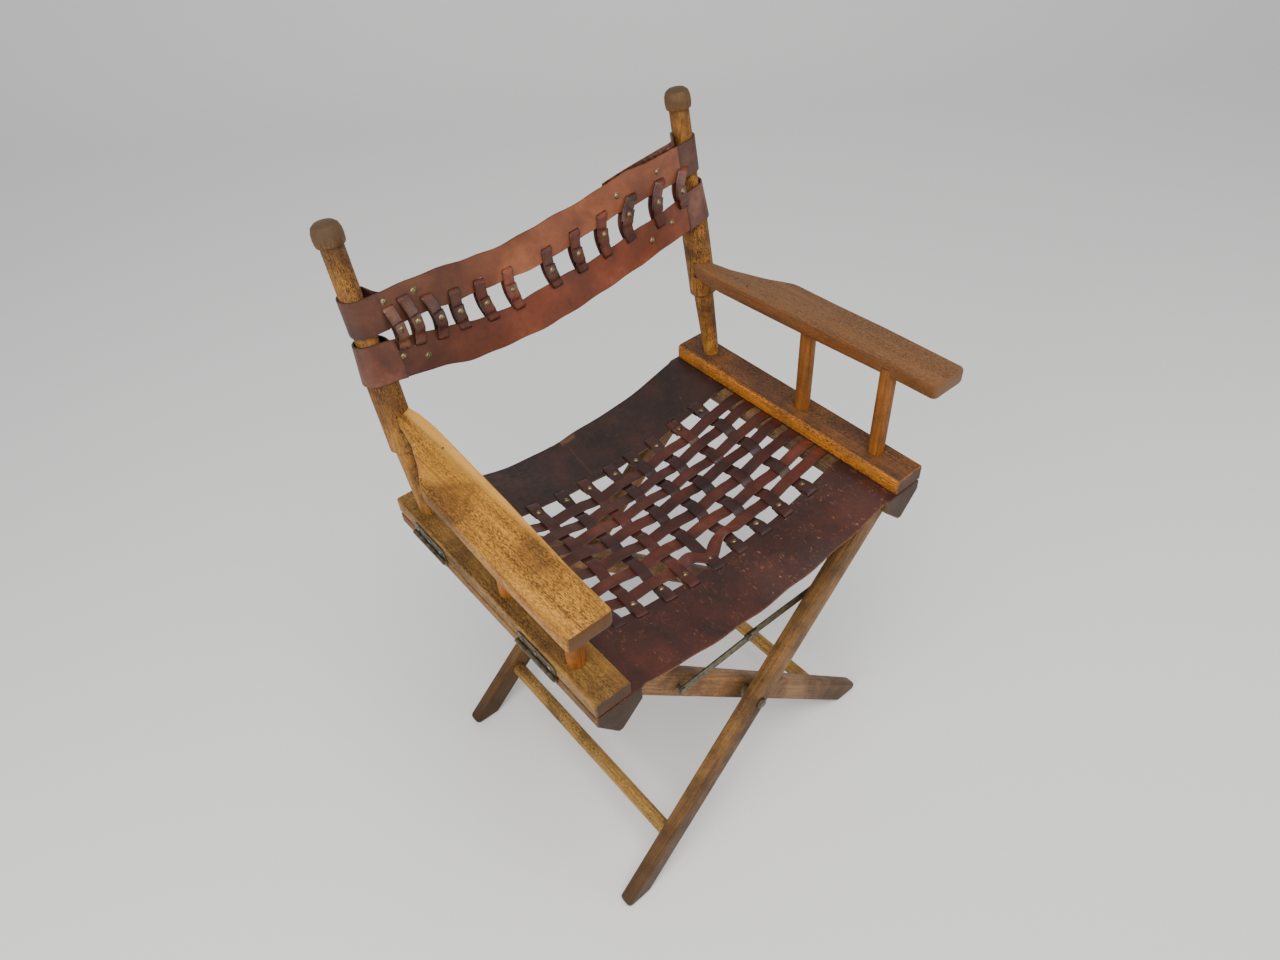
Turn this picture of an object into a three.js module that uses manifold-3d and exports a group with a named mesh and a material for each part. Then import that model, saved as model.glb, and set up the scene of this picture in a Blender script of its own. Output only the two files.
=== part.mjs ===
// A folding armchair: crossed wooden leg frames under a woven leather seat, arm frames hinged on the
// seat rails, and a looped leather back between two turned posts. All sizes are in millimetres.
// X runs across the chair, Y from the front to the back and Z up from the floor.
import * as THREE from 'three';
import { mergeVertices } from 'three/addons/utils/BufferGeometryUtils.js';
import Module from 'manifold-3d';

const wasm = await Module();
wasm.setup();

// Fits
const clearance = 0.3;
const overrun = 4;
const weldDistance = 0.001;

// Rails
const railLength = 400;
const acrossRails = 514;
const seatHeight = 504;
const upperRailWidth = 46;
const upperRailHeight = 22;
const upperRailSoftEdge = 2;
const upperRailInnerEdge = 6;
const lowerRailWidth = 60;
const lowerRailHeight = 48;
const lowerRailOuterFace = 14;
const lowerRailKeel = 6;
const lowerRailShoulder = 29;
const lowerRailSoftEdge = 2;
const railEndEdge = 1.5;

// Legs
const footSpread = 470;
const legFromKeel = 22.55;
const legWidth = 36;
const legDepth = 20;
const legEdge = 5;
const toeRadius = 8;
const legFromRailEnd = 10;
const legGap = 9;
const legSplay = 10;
const tenonWidth = 18;
const tenonDepth = 10;
const tenonLength = 18;

// Stretchers
const stretcherDiameter = 20;
const stretcherReach = 226;
const stretcherSocket = 12;

// Pivot bolts
const boltDiameter = 8;
const boltHeadDiameter = 15;
const boltHeadHeight = 4.5;
const boltHeadCrown = 1.5;
const boltPlay = 0.6;
const washerDiameter = 20;
const nutDiameter = 14;
const nutHeight = 6;

// Folding stay between the front legs
const stayReach = 159;
const stayRise = 2.5;
const linkWidth = 13;
const linkThickness = 1.8;
const linkOverhang = 16;
const linkClip = 4;
const tabFromEnd = 4;
const tabLength = 7;
const tabThickness = 1.8;
const stayRivetDiameter = 5;
const stayRivetHead = 9;
const stayRivetCrown = 2;
const stayRivetDepth = 10;
const stayBossDiameter = 10;
const stayBossHeight = 1.4;
const stayPlaneShare = 0.6;

// Hinges of the arm frames
const hingeLength = 70;
const hingeFromRailFront = 67;
const hingeFromRailBack = 43;
const knuckleDiameter = 6.4;
const knuckleCount = 5;
const hingePinDiameter = 2.8;
const leafThickness = 1.6;
const upperLeafHeight = 17;
const lowerLeafHeight = 12;
const leafClip = 5;

// Posts
const postFromRailFace = 21;
const postFromRailBack = 45;
const postLean = 0.1815;
const postLength = 365;
const postSocket = 14;
const postFootDiameter = 21.4;
const postWaistDiameter = 27;
const postThickDiameter = 36.5;
const postFlats = 35;
const postNeckDiameter = 25.5;
const postShoulder = 95;
const postShoulderSlope = 5;
const postNeckLength = 114;
const postFlareLength = 30;
const knobDiameter = 33.5;
const knobHeight = 25;

// Arms and their spindles
const armAboveSeat = 142;
const armThickness = 21;
const armBeyondRail = 12;
const armBeyondPost = 29;
const armWidth = 69;
const armOverhang = 27;
const armEdge = 4;
const armCornerRadius = 7;
const armBendRadius = 40;
const armTipRadius = 8;
const spindleDiameter = 20.5;
const spindleFromRailFace = 19.5;
const spindleSocket = 10;
const frontSpindleFromRailFront = 57;
const middleSpindleFromPost = 174;

// Seat leather
const leatherThickness = 2.4;
const seatSag = 31;
const leatherMargin = 5;
const frontBandDepth = 91;
const rearBandDepth = 98;
const bandEdgeSetback = 1;
const frontEdgePull = 5;
const rearEdgePull = 1;
const strapWidth = 17;
const crossCount = 7;
const longCount = 9;
const slotFromEdge = 11;
const strapTail = 22;
const weaveRun = 0.8;
const strapSettle = 14;

// Back leather
const upperBandHeight = 43;
const lowerBandHeight = 47;
const upperBandLeftFromTop = 106.3;
const upperBandRightFromTop = 83;
const lowerBandLeftFromTop = 158.6;
const lowerBandRightFromTop = 144;
const upperBandDrop = 19;
const lowerBandDrop = 36;
const upperBandBow = 12;
const lowerBandBow = 14;
const flapMargin = 16;
const shortFlap = 70;
const longFlap = 138;
const flapTurn = 5;
const wrapTurn = Math.PI * 4 / 3;
const backSlotFromEdge = 10;
const loopWidth = 16;
const loopSlack = 5;

// Worked out from the sizes above
const railOuter = acrossRails / 2;
const leatherSpace = leatherThickness + 2 * clearance;
const upperRailBottom = seatHeight - upperRailHeight;
const lowerRailTop = upperRailBottom - leatherSpace;
const leatherPlane = lowerRailTop + leatherSpace / 2;
const lowerRailInner = railOuter - lowerRailWidth;
const keelBottom = lowerRailTop - lowerRailHeight;
const keelInner = lowerRailInner + lowerRailShoulder;
const keelFromFoot = Math.hypot(footSpread / 2 + keelInner, keelBottom);
const legAngle = Math.atan2(keelBottom, footSpread / 2 + keelInner) + Math.asin(legFromKeel / keelFromFoot);
const pivotHeight = footSpread / 2 * Math.tan(legAngle);
const footReach = Math.hypot(pivotHeight, footSpread / 2);
const legLean = legSplay / footReach;
const acrossOuterLegs = railLength - 2 * legFromRailEnd;
const shoulderReach = keelInner * Math.cos(legAngle) + (keelBottom - pivotHeight) * Math.sin(legAngle);
const outerLegCentre = (acrossOuterLegs - legDepth) / 2;
const innerLegCentre = outerLegCentre - legDepth - legGap;
const railFront = -railLength / 2;
const railBack = railLength / 2;
const postX = railOuter - postFromRailFace;
const postY = railBack - postFromRailBack;
const postFlareEnd = postLength - knobHeight - postNeckLength;
const postFlareStart = postFlareEnd - postFlareLength;
const spindleX = railOuter - spindleFromRailFace;
const frontSpindle = railFront + frontSpindleFromRailFront;
const middleSpindle = postY - middleSpindleFromPost;
const frontHinge = railFront + hingeFromRailFront + hingeLength / 2;
const rearHinge = railBack - hingeFromRailBack - hingeLength / 2;
const armTop = seatHeight + armAboveSeat;
const armFront = railFront - armBeyondRail;
const armLength = postY + armBeyondPost - armFront;
const armInner = railOuter + armOverhang - armWidth;
const hingeAxisX = railOuter + clearance + knuckleDiameter / 2;

// The curves of the leather bands, as shares of their drop at equal steps from left to right
const upperDropShares = [0, 0.15, 0.5, 0.93, 0.9, 0.55, 0.15, 0.02, 0];
const lowerDropShares = [0, 0.35, 0.78, 1, 0.93, 0.8, 0.58, 0.25, 0];

// The open width of the weave that lies beside its outermost straps
const besideLongShare = 0.128;
const beforeCrossShare = 0.167;
const behindCrossShare = 0.217;

// The strap loops: shares of the distance from the middle to a post. The first three are crossed and
// caught in each other, so their lower ends sit in other places than their upper ends.
const loopUpperShares = [-0.877, -0.78, -0.665, -0.545, -0.405, -0.254, -0.013, 0.161, 0.335, 0.513, 0.716, 0.885];
const loopLowerShares = [-0.797, -0.848, -0.746, ...loopUpperShares.slice(3)];
const tangledLoops = 3;

// The arm seen from above: shares of its width outwards and of its length backwards
const armOutlineShares = [
  [1, 0, 'corner'], [0.99, 0.295, 'bend'], [0.95, 0.477, 'bend'], [0.935, 0.649, 'bend'],
  [0.69, 0.736, 'bend'], [0.443, 0.859, 'bend'], [0.37, 0.93, 'bend'], [0.36, 1, 'tip'],
  [0.1, 1, 'tip'], [0.02, 0.92, 'bend'], [0, 0.838, 'bend'], [0.03, 0.715, 'bend'],
  [0.1, 0.457, 'bend'], [0.2, 0.169, 'bend'], [0.225, 0, 'corner'],
];

// The knob in profile: shares of its radius and height
const knobProfileShares = [[0.92, 0], [0.97, 0.1], [1, 0.34], [0.97, 0.6], [0.85, 0.82], [0.6, 0.95], [0.3, 0.99]];

const oak = { color: 0x9a6430, roughness: 0.62, metalness: 0 };
const darkOak = { color: 0x7c4c25, roughness: 0.6, metalness: 0 };
const steel = { color: 0x3f3d36, roughness: 0.5, metalness: 0.8 };
const bronze = { color: 0x6b6247, roughness: 0.5, metalness: 0.75 };
const seatLeather = { color: 0x3d1f17, roughness: 0.55, metalness: 0 };
const strapLeather = { color: 0x5a2a1c, roughness: 0.5, metalness: 0 };
const backLeather = { color: 0x5e2417, roughness: 0.48, metalness: 0 };

const chair = new THREE.Group();
const standing = new THREE.Group();
chair.add(standing);

function piece(group, name, finish, geometry) {
  const mesh = new THREE.Mesh(geometry, new THREE.MeshStandardMaterial(finish));
  mesh.name = name;
  group.add(mesh);
  return mesh;
}

// Closed solids for cutting and joining
function welded(geometry) {
  const bare = geometry.clone();
  bare.deleteAttribute('normal');
  bare.deleteAttribute('uv');
  return mergeVertices(bare, weldDistance);
}

function solid(geometry) {
  const merged = welded(geometry);
  return new wasm.Manifold(new wasm.Mesh({
    numProp: 3,
    vertProperties: new Float32Array(merged.attributes.position.array),
    triVerts: new Uint32Array(merged.index.array),
  }));
}

function surface(manifold) {
  const mesh = manifold.getMesh();
  const geometry = new THREE.BufferGeometry();
  geometry.setAttribute('position', new THREE.BufferAttribute(mesh.vertProperties, 3));
  geometry.setIndex(new THREE.BufferAttribute(mesh.triVerts, 1));
  geometry.computeVertexNormals();
  return geometry;
}

function joined(geometries) {
  return geometries.map(solid).reduce((whole, part) => whole.add(part));
}

function cut(whole, cutters) {
  return cutters.reduce((rest, cutter) => rest.subtract(solid(cutter)), whole);
}

// A closed outline whose corners are rounded, each by its own radius
function roundedOutline(points, radii) {
  const shape = new THREE.Shape();
  points.forEach(([x, y], i) => {
    const corner = new THREE.Vector2(x, y);
    const before = new THREE.Vector2(...points.at(i - 1)).sub(corner);
    const after = new THREE.Vector2(...points[(i + 1) % points.length]).sub(corner);
    const half = Math.acos(before.dot(after) / (before.length() * after.length())) / 2;
    const reach = Math.min(radii[i] / Math.tan(half), before.length() / 2.1, after.length() / 2.1);
    const clockwise = before.cross(after) > 0;
    const start = corner.clone().add(before.setLength(reach));
    const end = corner.clone().add(after.setLength(reach));
    if (i === 0) {
      shape.moveTo(start.x, start.y);
    } else {
      shape.lineTo(start.x, start.y);
    }
    if (reach > 0) {
      const inward = before.add(after).setLength(reach / Math.cos(half));
      const centre = corner.clone().add(inward);
      shape.absarc(centre.x, centre.y, reach * Math.tan(half), start.sub(centre).angle(),
        end.sub(centre).angle(), clockwise);
    }
  });
  return shape;
}

function plainOutline(points) {
  return new THREE.Shape(points.map(([x, y]) => new THREE.Vector2(x, y)));
}

// Extrusions of outlines drawn in the front view (x, z), the side view (y, z) and from above (x, y)
function extruded(shape, length, edge, curveSegments, bevelSegments) {
  return new THREE.ExtrudeGeometry(shape, {
    depth: length - 2 * edge,
    steps: 1,
    curveSegments,
    bevelEnabled: edge > 0,
    bevelThickness: edge,
    bevelSize: edge,
    bevelOffset: -edge,
    bevelSegments,
  }).translate(0, 0, edge);
}

function fromFront(shape, from, to, edge = 0, curveSegments = 3, bevelSegments = 2) {
  return extruded(shape, to - from, edge, curveSegments, bevelSegments).rotateX(Math.PI / 2).translate(0, to, 0);
}

function fromSide(shape, from, to) {
  const turn = new THREE.Matrix4().makeBasis(
    new THREE.Vector3(0, 1, 0), new THREE.Vector3(0, 0, 1), new THREE.Vector3(1, 0, 0));
  return extruded(shape, to - from, 0, 3, 1).applyMatrix4(turn).translate(from, 0, 0);
}

function fromAbove(shape, from, to, edge = 0, curveSegments = 3, bevelSegments = 2) {
  return extruded(shape, to - from, edge, curveSegments, bevelSegments).translate(0, 0, from);
}

function block(fromX, toX, fromY, toY, fromZ, toZ) {
  return new THREE.BoxGeometry(toX - fromX, toY - fromY, toZ - fromZ)
    .translate((fromX + toX) / 2, (fromY + toY) / 2, (fromZ + toZ) / 2);
}

function rodAlongY(diameter, from, to, x, z, sides = 20) {
  return new THREE.CylinderGeometry(diameter / 2, diameter / 2, to - from, sides)
    .translate(x, (from + to) / 2, z);
}

function rodAlongZ(diameter, from, to, x, y, sides = 20) {
  return new THREE.CylinderGeometry(diameter / 2, diameter / 2, to - from, sides)
    .rotateX(Math.PI / 2)
    .translate(x, y, (from + to) / 2);
}

function moved(geometry, place) {
  const position = geometry.attributes.position;
  const point = new THREE.Vector3();
  for (let i = 0; i < position.count; i += 1) {
    place(point.fromBufferAttribute(position, i));
    position.setXYZ(i, point.x, point.y, point.z);
  }
  return geometry;
}

// Rails: "side" is 1 on the right and -1 on the left
function lowerRailOutline(side) {
  const slope = lowerRailShoulder / Math.tan(legAngle);
  const points = [
    [railOuter, lowerRailTop],
    [lowerRailInner, lowerRailTop],
    [lowerRailInner, keelBottom + slope],
    [keelInner, keelBottom],
    [keelInner + lowerRailKeel, keelBottom],
    [railOuter, lowerRailTop - lowerRailOuterFace],
  ];
  return roundedOutline(points.map(([x, z]) => [side * x, z]), points.map(() => lowerRailSoftEdge));
}

function lowerRail(side, legCentre) {
  const blank = fromFront(lowerRailOutline(side), railFront, railBack, railEndEdge, 2, 1);
  const mortises = [-1, 1].map((end) => legTenon(side, end * legCentre, clearance));
  return surface(cut(solid(blank), mortises));
}

function upperRailOutline(side) {
  const inner = railOuter - upperRailWidth;
  const points = [
    [railOuter, upperRailBottom], [railOuter, seatHeight], [inner, seatHeight], [inner, upperRailBottom],
  ];
  const radii = [upperRailSoftEdge, upperRailSoftEdge, upperRailInnerEdge, upperRailSoftEdge];
  return roundedOutline(points.map(([x, z]) => [side * x, z]), radii);
}

function upperRail(side) {
  const blank = fromFront(upperRailOutline(side), railFront, railBack, railEndEdge, 3, 1);
  const sockets = [frontSpindle, middleSpindle].map((y) => rodAlongZ(
    spindleDiameter + 2 * clearance, seatHeight - spindleSocket - clearance, seatHeight + overrun,
    side * spindleX, y));
  const postHole = new THREE.CylinderGeometry(
    postFootDiameter / 2 + clearance, postFootDiameter / 2 + clearance, 2 * (postSocket + clearance), 24)
    .rotateX(Math.PI / 2);
  sockets.push(standPost(postHole, side));
  return surface(cut(solid(blank), sockets));
}

// Legs: "rise" is 1 where the leg climbs to the right rail and -1 where it climbs to the left one.
// "centre" is the leg's middle in depth at the pivot, negative at the front.
function onLeg(rise, reach, across) {
  return [
    rise * (reach * Math.cos(legAngle) - across * Math.sin(legAngle)),
    pivotHeight + reach * Math.sin(legAngle) + across * Math.cos(legAngle),
  ];
}

function splayed(geometry, rise, centre) {
  return moved(geometry, (point) => {
    const reach = rise * point.x * Math.cos(legAngle) + (point.z - pivotHeight) * Math.sin(legAngle);
    point.y -= Math.sign(centre) * legLean * reach;
  });
}

function legBar(rise, centre, from, to, width, depth) {
  const [x, z] = onLeg(rise, (from + to) / 2, 0);
  const bar = new THREE.BoxGeometry(to - from, depth, width)
    .rotateY(-Math.atan2(Math.sin(legAngle), rise * Math.cos(legAngle)))
    .translate(x, centre, z);
  return splayed(bar, rise, centre);
}

function legTenon(rise, centre, ease) {
  return legBar(rise, centre, shoulderReach - overrun, shoulderReach + tenonLength + ease,
    tenonWidth + 2 * ease, tenonDepth + 2 * ease);
}

function leg(rise, centre, holes) {
  const soleHalf = legWidth / 2 / Math.sin(legAngle);
  const top = shoulderReach + overrun;
  const points = [
    [-rise * (footSpread / 2 + soleHalf), 0],
    [-rise * (footSpread / 2 - soleHalf), 0],
    onLeg(rise, top, -legWidth / 2),
    onLeg(rise, top, legWidth / 2),
  ];
  const outline = roundedOutline(points, [toeRadius, toeRadius, 0, 0]);
  const blank = splayed(
    fromFront(outline, centre - legDepth / 2, centre + legDepth / 2, legEdge, 3, 2), rise, centre);
  const beyondShoulder = legBar(rise, centre, shoulderReach - clearance, top + legWidth, 2 * legWidth, 2 * legDepth);
  const shouldered = solid(blank).subtract(solid(beyondShoulder)).add(solid(legTenon(rise, centre, 0)));
  const pivotHole = rodAlongY(boltDiameter + 2 * clearance, centre - legDepth, centre + legDepth, 0, pivotHeight);
  return surface(cut(shouldered, [pivotHole, ...holes]));
}

// The face of a leg that looks at the chair's middle, at the height of the stretcher
function stretcherFace(legCentre) {
  return legCentre - legDepth / 2 + legLean * stretcherReach;
}

function stretcherSocketIn(rise, legCentre, end) {
  const [x, z] = onLeg(rise, -stretcherReach, 0);
  const face = stretcherFace(legCentre);
  const ends = [end * (face - overrun), end * (face + stretcherSocket + clearance)].sort((a, b) => a - b);
  return rodAlongY(stretcherDiameter + 2 * clearance, ends[0], ends[1], x, z);
}

function stretcher(legCentre) {
  const half = stretcherFace(legCentre) + stretcherSocket;
  return rodAlongY(stretcherDiameter, -half, half, 0, 0);
}

// A pivot bolt with its domed head outside, a washer between the legs and its nut inside
function pivotBolt() {
  const headBase = outerLegCentre + legDepth / 2 + boltPlay;
  const washerOut = outerLegCentre - legDepth / 2 - boltPlay;
  const washerIn = innerLegCentre + legDepth / 2 + boltPlay;
  const nutBase = innerLegCentre - legDepth / 2 - boltPlay;
  const profile = [
    [0, nutBase - nutHeight], [nutDiameter / 2, nutBase - nutHeight], [nutDiameter / 2, nutBase],
    [boltDiameter / 2, nutBase], [boltDiameter / 2, washerIn], [washerDiameter / 2, washerIn],
    [washerDiameter / 2, washerOut], [boltDiameter / 2, washerOut], [boltDiameter / 2, headBase],
    [boltHeadDiameter / 2, headBase], [boltHeadDiameter / 2, headBase + boltHeadHeight - boltHeadCrown],
    [boltHeadDiameter / 3, headBase + boltHeadHeight], [0, headBase + boltHeadHeight],
  ];
  return new THREE.LatheGeometry(profile.map(([r, y]) => new THREE.Vector2(r, y)), 16);
}

// The stay: two flat links that meet just above the line between their rivets when the chair is open
const stayAnchor = onLeg(-1, stayReach, 0);
const stayMiddle = [0, stayAnchor[1] + stayRise];
const linkLength = Math.hypot(stayAnchor[0], stayRise);
const stayTilt = Math.atan2(stayRise, -stayAnchor[0]);
const stayPlane = -(outerLegCentre - legDepth / 2 - legGap / 2) + legLean * stayReach * stayPlaneShare;
const backLinkFront = stayPlane + clearance / 2;
const frontLinkBack = stayPlane - clearance / 2;

// A bar of the stay from a rivet towards the middle: "hand" is 1 from the left and -1 from the right
function linkPoint(hand, along, across) {
  return [
    hand * (stayAnchor[0] + along * Math.cos(stayTilt) - across * Math.sin(stayTilt)),
    stayAnchor[1] + along * Math.sin(stayTilt) + across * Math.cos(stayTilt),
  ];
}

function linkBar(hand, from, to, low, high, front, back, radii) {
  const points = [[from, low], [to, low], [to, high], [from, high]].map(([u, v]) => linkPoint(hand, u, v));
  return fromFront(roundedOutline(points, radii), front, back);
}

function frontLink() {
  const half = linkWidth / 2;
  const end = linkLength + linkOverhang;
  const front = frontLinkBack - linkThickness;
  const seat = half + clearance + linkOverhang * Math.sin(2 * stayTilt);
  const tabStart = end - tabFromEnd - tabLength;
  const tabEnd = end - tabFromEnd;
  return surface(joined([
    linkBar(1, -half, end, -half, half, front, frontLinkBack, [linkClip, linkClip, linkClip, linkClip]),
    linkBar(1, tabStart, tabEnd, -seat - tabThickness, -half / 2, front, frontLinkBack, [0, 0, 0, 0]),
    linkBar(1, tabStart, tabEnd, -seat - tabThickness, -seat, front, backLinkFront + linkThickness, [0, 0, 0, 0]),
    rodAlongY(stayRivetHead, front - stayRivetCrown, front + linkThickness / 2, ...stayAnchor, 12),
    rodAlongY(stayRivetDiameter, front, innerLegFrontAtStay() + stayRivetDepth, ...stayAnchor, 12),
    rodAlongY(stayRivetHead, front - stayRivetCrown, front + linkThickness / 2, ...stayMiddle, 12),
    rodAlongY(stayRivetDiameter, front, backLinkFront + linkThickness, ...stayMiddle, 12),
  ]));
}

function backLink() {
  const half = linkWidth / 2;
  const back = backLinkFront + linkThickness;
  const plate = linkBar(-1, -half, linkLength + half, -half, half, backLinkFront, back,
    [linkClip, linkClip, linkClip, linkClip]);
  const boss = rodAlongY(stayBossDiameter, backLinkFront - stayBossHeight, backLinkFront + linkThickness / 2,
    -stayAnchor[0], stayAnchor[1], 12);
  const eye = rodAlongY(stayRivetDiameter + 2 * clearance, backLinkFront - overrun, back + overrun, ...stayMiddle, 12);
  return surface(cut(joined([plate, boss]), [eye]));
}

function innerLegFrontAtStay() {
  return -(innerLegCentre + legDepth / 2) + legLean * stayReach;
}

// Hinges on the rails' outer faces
function leaf(side, centre, upper) {
  const from = centre - hingeLength / 2;
  const to = centre + hingeLength / 2;
  const reach = upper ? leatherPlane + upperLeafHeight : leatherPlane - lowerLeafHeight;
  const clip = upper ? -leafClip : leafClip;
  const outline = plainOutline([
    [from, leatherPlane], [to, leatherPlane], [to, reach + clip],
    [to - leafClip, reach], [from + leafClip, reach], [from, reach + clip],
  ]);
  const inside = side * (railOuter + clearance);
  const outside = side * (railOuter + clearance + leafThickness);
  return fromSide(outline, Math.min(inside, outside), Math.max(inside, outside));
}

function knuckles(side, centre, diameter, parity, ease) {
  const step = hingeLength / knuckleCount;
  const start = centre - hingeLength / 2;
  const chosen = [...Array(knuckleCount).keys()].filter((i) => i % 2 === parity);
  return chosen.map((i) => rodAlongY(
    diameter, start + i * step + ease, start + (i + 1) * step - ease, side * hingeAxisX, leatherPlane, 12));
}

function lowerLeaf(side, centre) {
  const pin = rodAlongY(hingePinDiameter, centre - hingeLength / 2 + clearance, centre + hingeLength / 2 - clearance,
    side * hingeAxisX, leatherPlane, 8);
  const rooms = knuckles(side, centre, knuckleDiameter + 2 * clearance, 1, 0);
  const plate = cut(solid(leaf(side, centre, false)), rooms);
  return surface(plate.add(joined(knuckles(side, centre, knuckleDiameter, 0, clearance / 2))).add(solid(pin)));
}

function upperLeaf(side, centre) {
  const bore = rodAlongY(hingePinDiameter + 2 * clearance, centre - hingeLength, centre + hingeLength,
    side * hingeAxisX, leatherPlane, 8);
  const rooms = knuckles(side, centre, knuckleDiameter + 2 * clearance, 0, 0);
  const plate = cut(solid(leaf(side, centre, true)), rooms);
  const whole = plate.add(joined(knuckles(side, centre, knuckleDiameter, 1, clearance / 2)));
  return surface(cut(whole, [bore]));
}

// Posts lean back from the upper rails
function standPost(geometry, side) {
  return geometry.rotateX(-postLean).translate(side * postX, postY, seatHeight);
}

function post(side) {
  const knobBase = postLength - knobHeight;
  const profile = [
    [0, -postSocket], [postFootDiameter / 2, -postSocket], [postFootDiameter / 2, 0],
    [postWaistDiameter / 2, postShoulder - postShoulderSlope], [postThickDiameter / 2, postShoulder],
    [postThickDiameter / 2, postFlareStart], [postNeckDiameter / 2, postFlareEnd], [postNeckDiameter / 2, knobBase],
    ...knobProfileShares.map(([r, h]) => [r * knobDiameter / 2, knobBase + h * knobHeight]),
    [0, postLength],
  ];
  const turned = welded(new THREE.LatheGeometry(profile.map(([r, h]) => new THREE.Vector2(r, h)), 24));
  const flatRadius = postFlats / 2 / Math.cos(Math.PI / 8);
  const flats = new THREE.CylinderGeometry(flatRadius, flatRadius, 2 * (postLength + overrun), 8);
  const shaped = solid(standPost(turned.rotateX(Math.PI / 2), side))
    .intersect(solid(standPost(flats.rotateX(Math.PI / 2), side)));
  return surface(cut(shaped, [armBlank(side, clearance)]));
}

// Arms
function armBlank(side, ease) {
  const radius = { corner: armCornerRadius, bend: armBendRadius, tip: armTipRadius };
  const points = armOutlineShares.map(([out, back]) => [
    side * (armInner + out * armWidth), armFront + back * armLength,
  ]);
  const outline = roundedOutline(points, armOutlineShares.map(([, , kind]) => radius[kind]));
  if (ease === 0) {
    return fromAbove(outline, armTop - armThickness, armTop, armEdge, 2, 2);
  }
  return new THREE.ExtrudeGeometry(outline, {
    depth: armThickness, steps: 1, curveSegments: 2, bevelSegments: 1, bevelThickness: ease, bevelSize: ease,
  }).translate(0, 0, armTop - armThickness);
}

function arm(side) {
  const bottom = armTop - armThickness;
  const sockets = [frontSpindle, middleSpindle].map((y) => rodAlongZ(
    spindleDiameter + 2 * clearance, bottom - overrun, bottom + spindleSocket + clearance,
    side * spindleX, y));
  return surface(cut(solid(armBlank(side, 0)), sockets));
}

// Seat leather: everything hangs in one shallow hollow between the lower rails
function hollow(x) {
  const share = Math.min(1, Math.abs(x) / lowerRailInner);
  return leatherPlane - seatSag * (1 - share * share);
}

// A sheet seen from the front, along a path of places across the seat and heights above the hollow
function hangingOutline(path) {
  const half = leatherThickness / 2;
  return plainOutline([
    ...path.map(([x, z]) => [x, hollow(x) + z - half]),
    ...path.toReversed().map(([x, z]) => [x, hollow(x) + z + half]),
  ]);
}

const frontBandEdge = railFront + bandEdgeSetback + frontBandDepth;
const rearBandEdge = railBack - bandEdgeSetback - rearBandDepth;
const frontSlot = frontBandEdge - slotFromEdge;
const rearSlot = rearBandEdge + slotFromEdge;
const layer = leatherThickness + clearance;

// Places of a number of straps between two edges: the open width that they leave is shared out
function strapPlaces(from, to, count, fromShare, toShare) {
  const open = to - from - count * strapWidth;
  const first = from + open * fromShare + strapWidth / 2;
  const last = to - open * toShare - strapWidth / 2;
  return [...Array(count).keys()].map((i) => THREE.MathUtils.lerp(first, last, i / (count - 1)));
}

const longPlaces = strapPlaces(-lowerRailInner, lowerRailInner, longCount, besideLongShare, besideLongShare);
const crossPlaces = strapPlaces(frontBandEdge, rearBandEdge, crossCount, beforeCrossShare, behindCrossShare);

function slotThrough(x, y) {
  const half = strapWidth / 2 + clearance;
  const room = leatherThickness / 2 + clearance;
  return block(x - half, x + half, y - room, y + room, leatherPlane - seatSag * 2, leatherPlane + seatSag);
}

function seatBand(edge, free, pull, slot) {
  const stations = 12;
  const reach = railOuter - leatherMargin;
  const inside = [...Array(stations + 1).keys()].map((i) => (2 * i / stations - 1) * lowerRailInner);
  const across = [-reach, ...inside, reach];
  const outline = hangingOutline(across.map((x) => [x, 0]));
  const straight = fromFront(outline, Math.min(edge, free), Math.max(edge, free));
  const sheet = moved(straight, (point) => {
    const share = Math.min(1, Math.abs(point.x) / lowerRailInner);
    if (Math.abs(point.y) > (Math.abs(edge) + Math.abs(free)) / 2) {
      point.y -= Math.sign(point.y) * pull * (1 - share * share);
    }
  });
  return surface(cut(solid(sheet), longPlaces.map((x) => slotThrough(x, slot))));
}

// Heights of a woven strap: up or down at each crossing, flat across the strap that it passes
function weave(places, firstUp) {
  const half = strapWidth / 2 + weaveRun;
  return places.flatMap((place, i) => {
    const height = ((i % 2 === 0) === firstUp ? 1 : -1) * layer / 2;
    return [[place - half, height], [place + half, height]];
  });
}

// A cross strap runs from rail to rail and lies flat between the rails at its ends
function crossStrap(y, firstUp) {
  const reach = railOuter - leatherMargin;
  const last = longPlaces.at(-1) + strapWidth / 2 + weaveRun + strapSettle;
  const path = [
    [-reach, 0], [-lowerRailInner, 0], [-last, 0], ...weave(longPlaces, firstUp), [last, 0],
    [lowerRailInner, 0], [reach, 0],
  ];
  return fromFront(hangingOutline(path), y - strapWidth / 2, y + strapWidth / 2);
}

// A long strap turns down through a slot in each band, comes back below it and is riveted to itself
function longStrap(x, firstUp) {
  const half = leatherThickness / 2;
  const tall = layer + half;
  const frontEnd = frontSlot - half;
  const rearEnd = rearSlot + half;
  const frontTail = frontSlot + strapTail;
  const rearTail = rearSlot - strapTail;
  const path = weave(crossPlaces, firstUp);
  const outline = plainOutline([
    [frontEnd, -tall], [frontTail, -tall], [frontTail, -half],
    ...path.map(([y, z]) => [y, z - half]),
    [rearTail, -half], [rearTail, -tall], [rearEnd, -tall], [rearEnd, tall], [rearBandEdge - clearance, tall],
    ...path.toReversed().map(([y, z]) => [y, z + half]),
    [frontBandEdge + clearance, tall], [frontEnd, tall],
  ]);
  const inner = layer - half;
  const windows = [[frontSlot + half, frontBandEdge + clearance], [rearBandEdge - clearance, rearSlot - half]];
  outline.holes = windows.map(([from, to]) => new THREE.Path(
    [[from, -inner], [from, inner], [to, inner], [to, -inner]].map(([y, z]) => new THREE.Vector2(y, z))));
  return moved(fromSide(outline, x - strapWidth / 2, x + strapWidth / 2), (point) => {
    point.z += hollow(point.x);
  });
}

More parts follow.
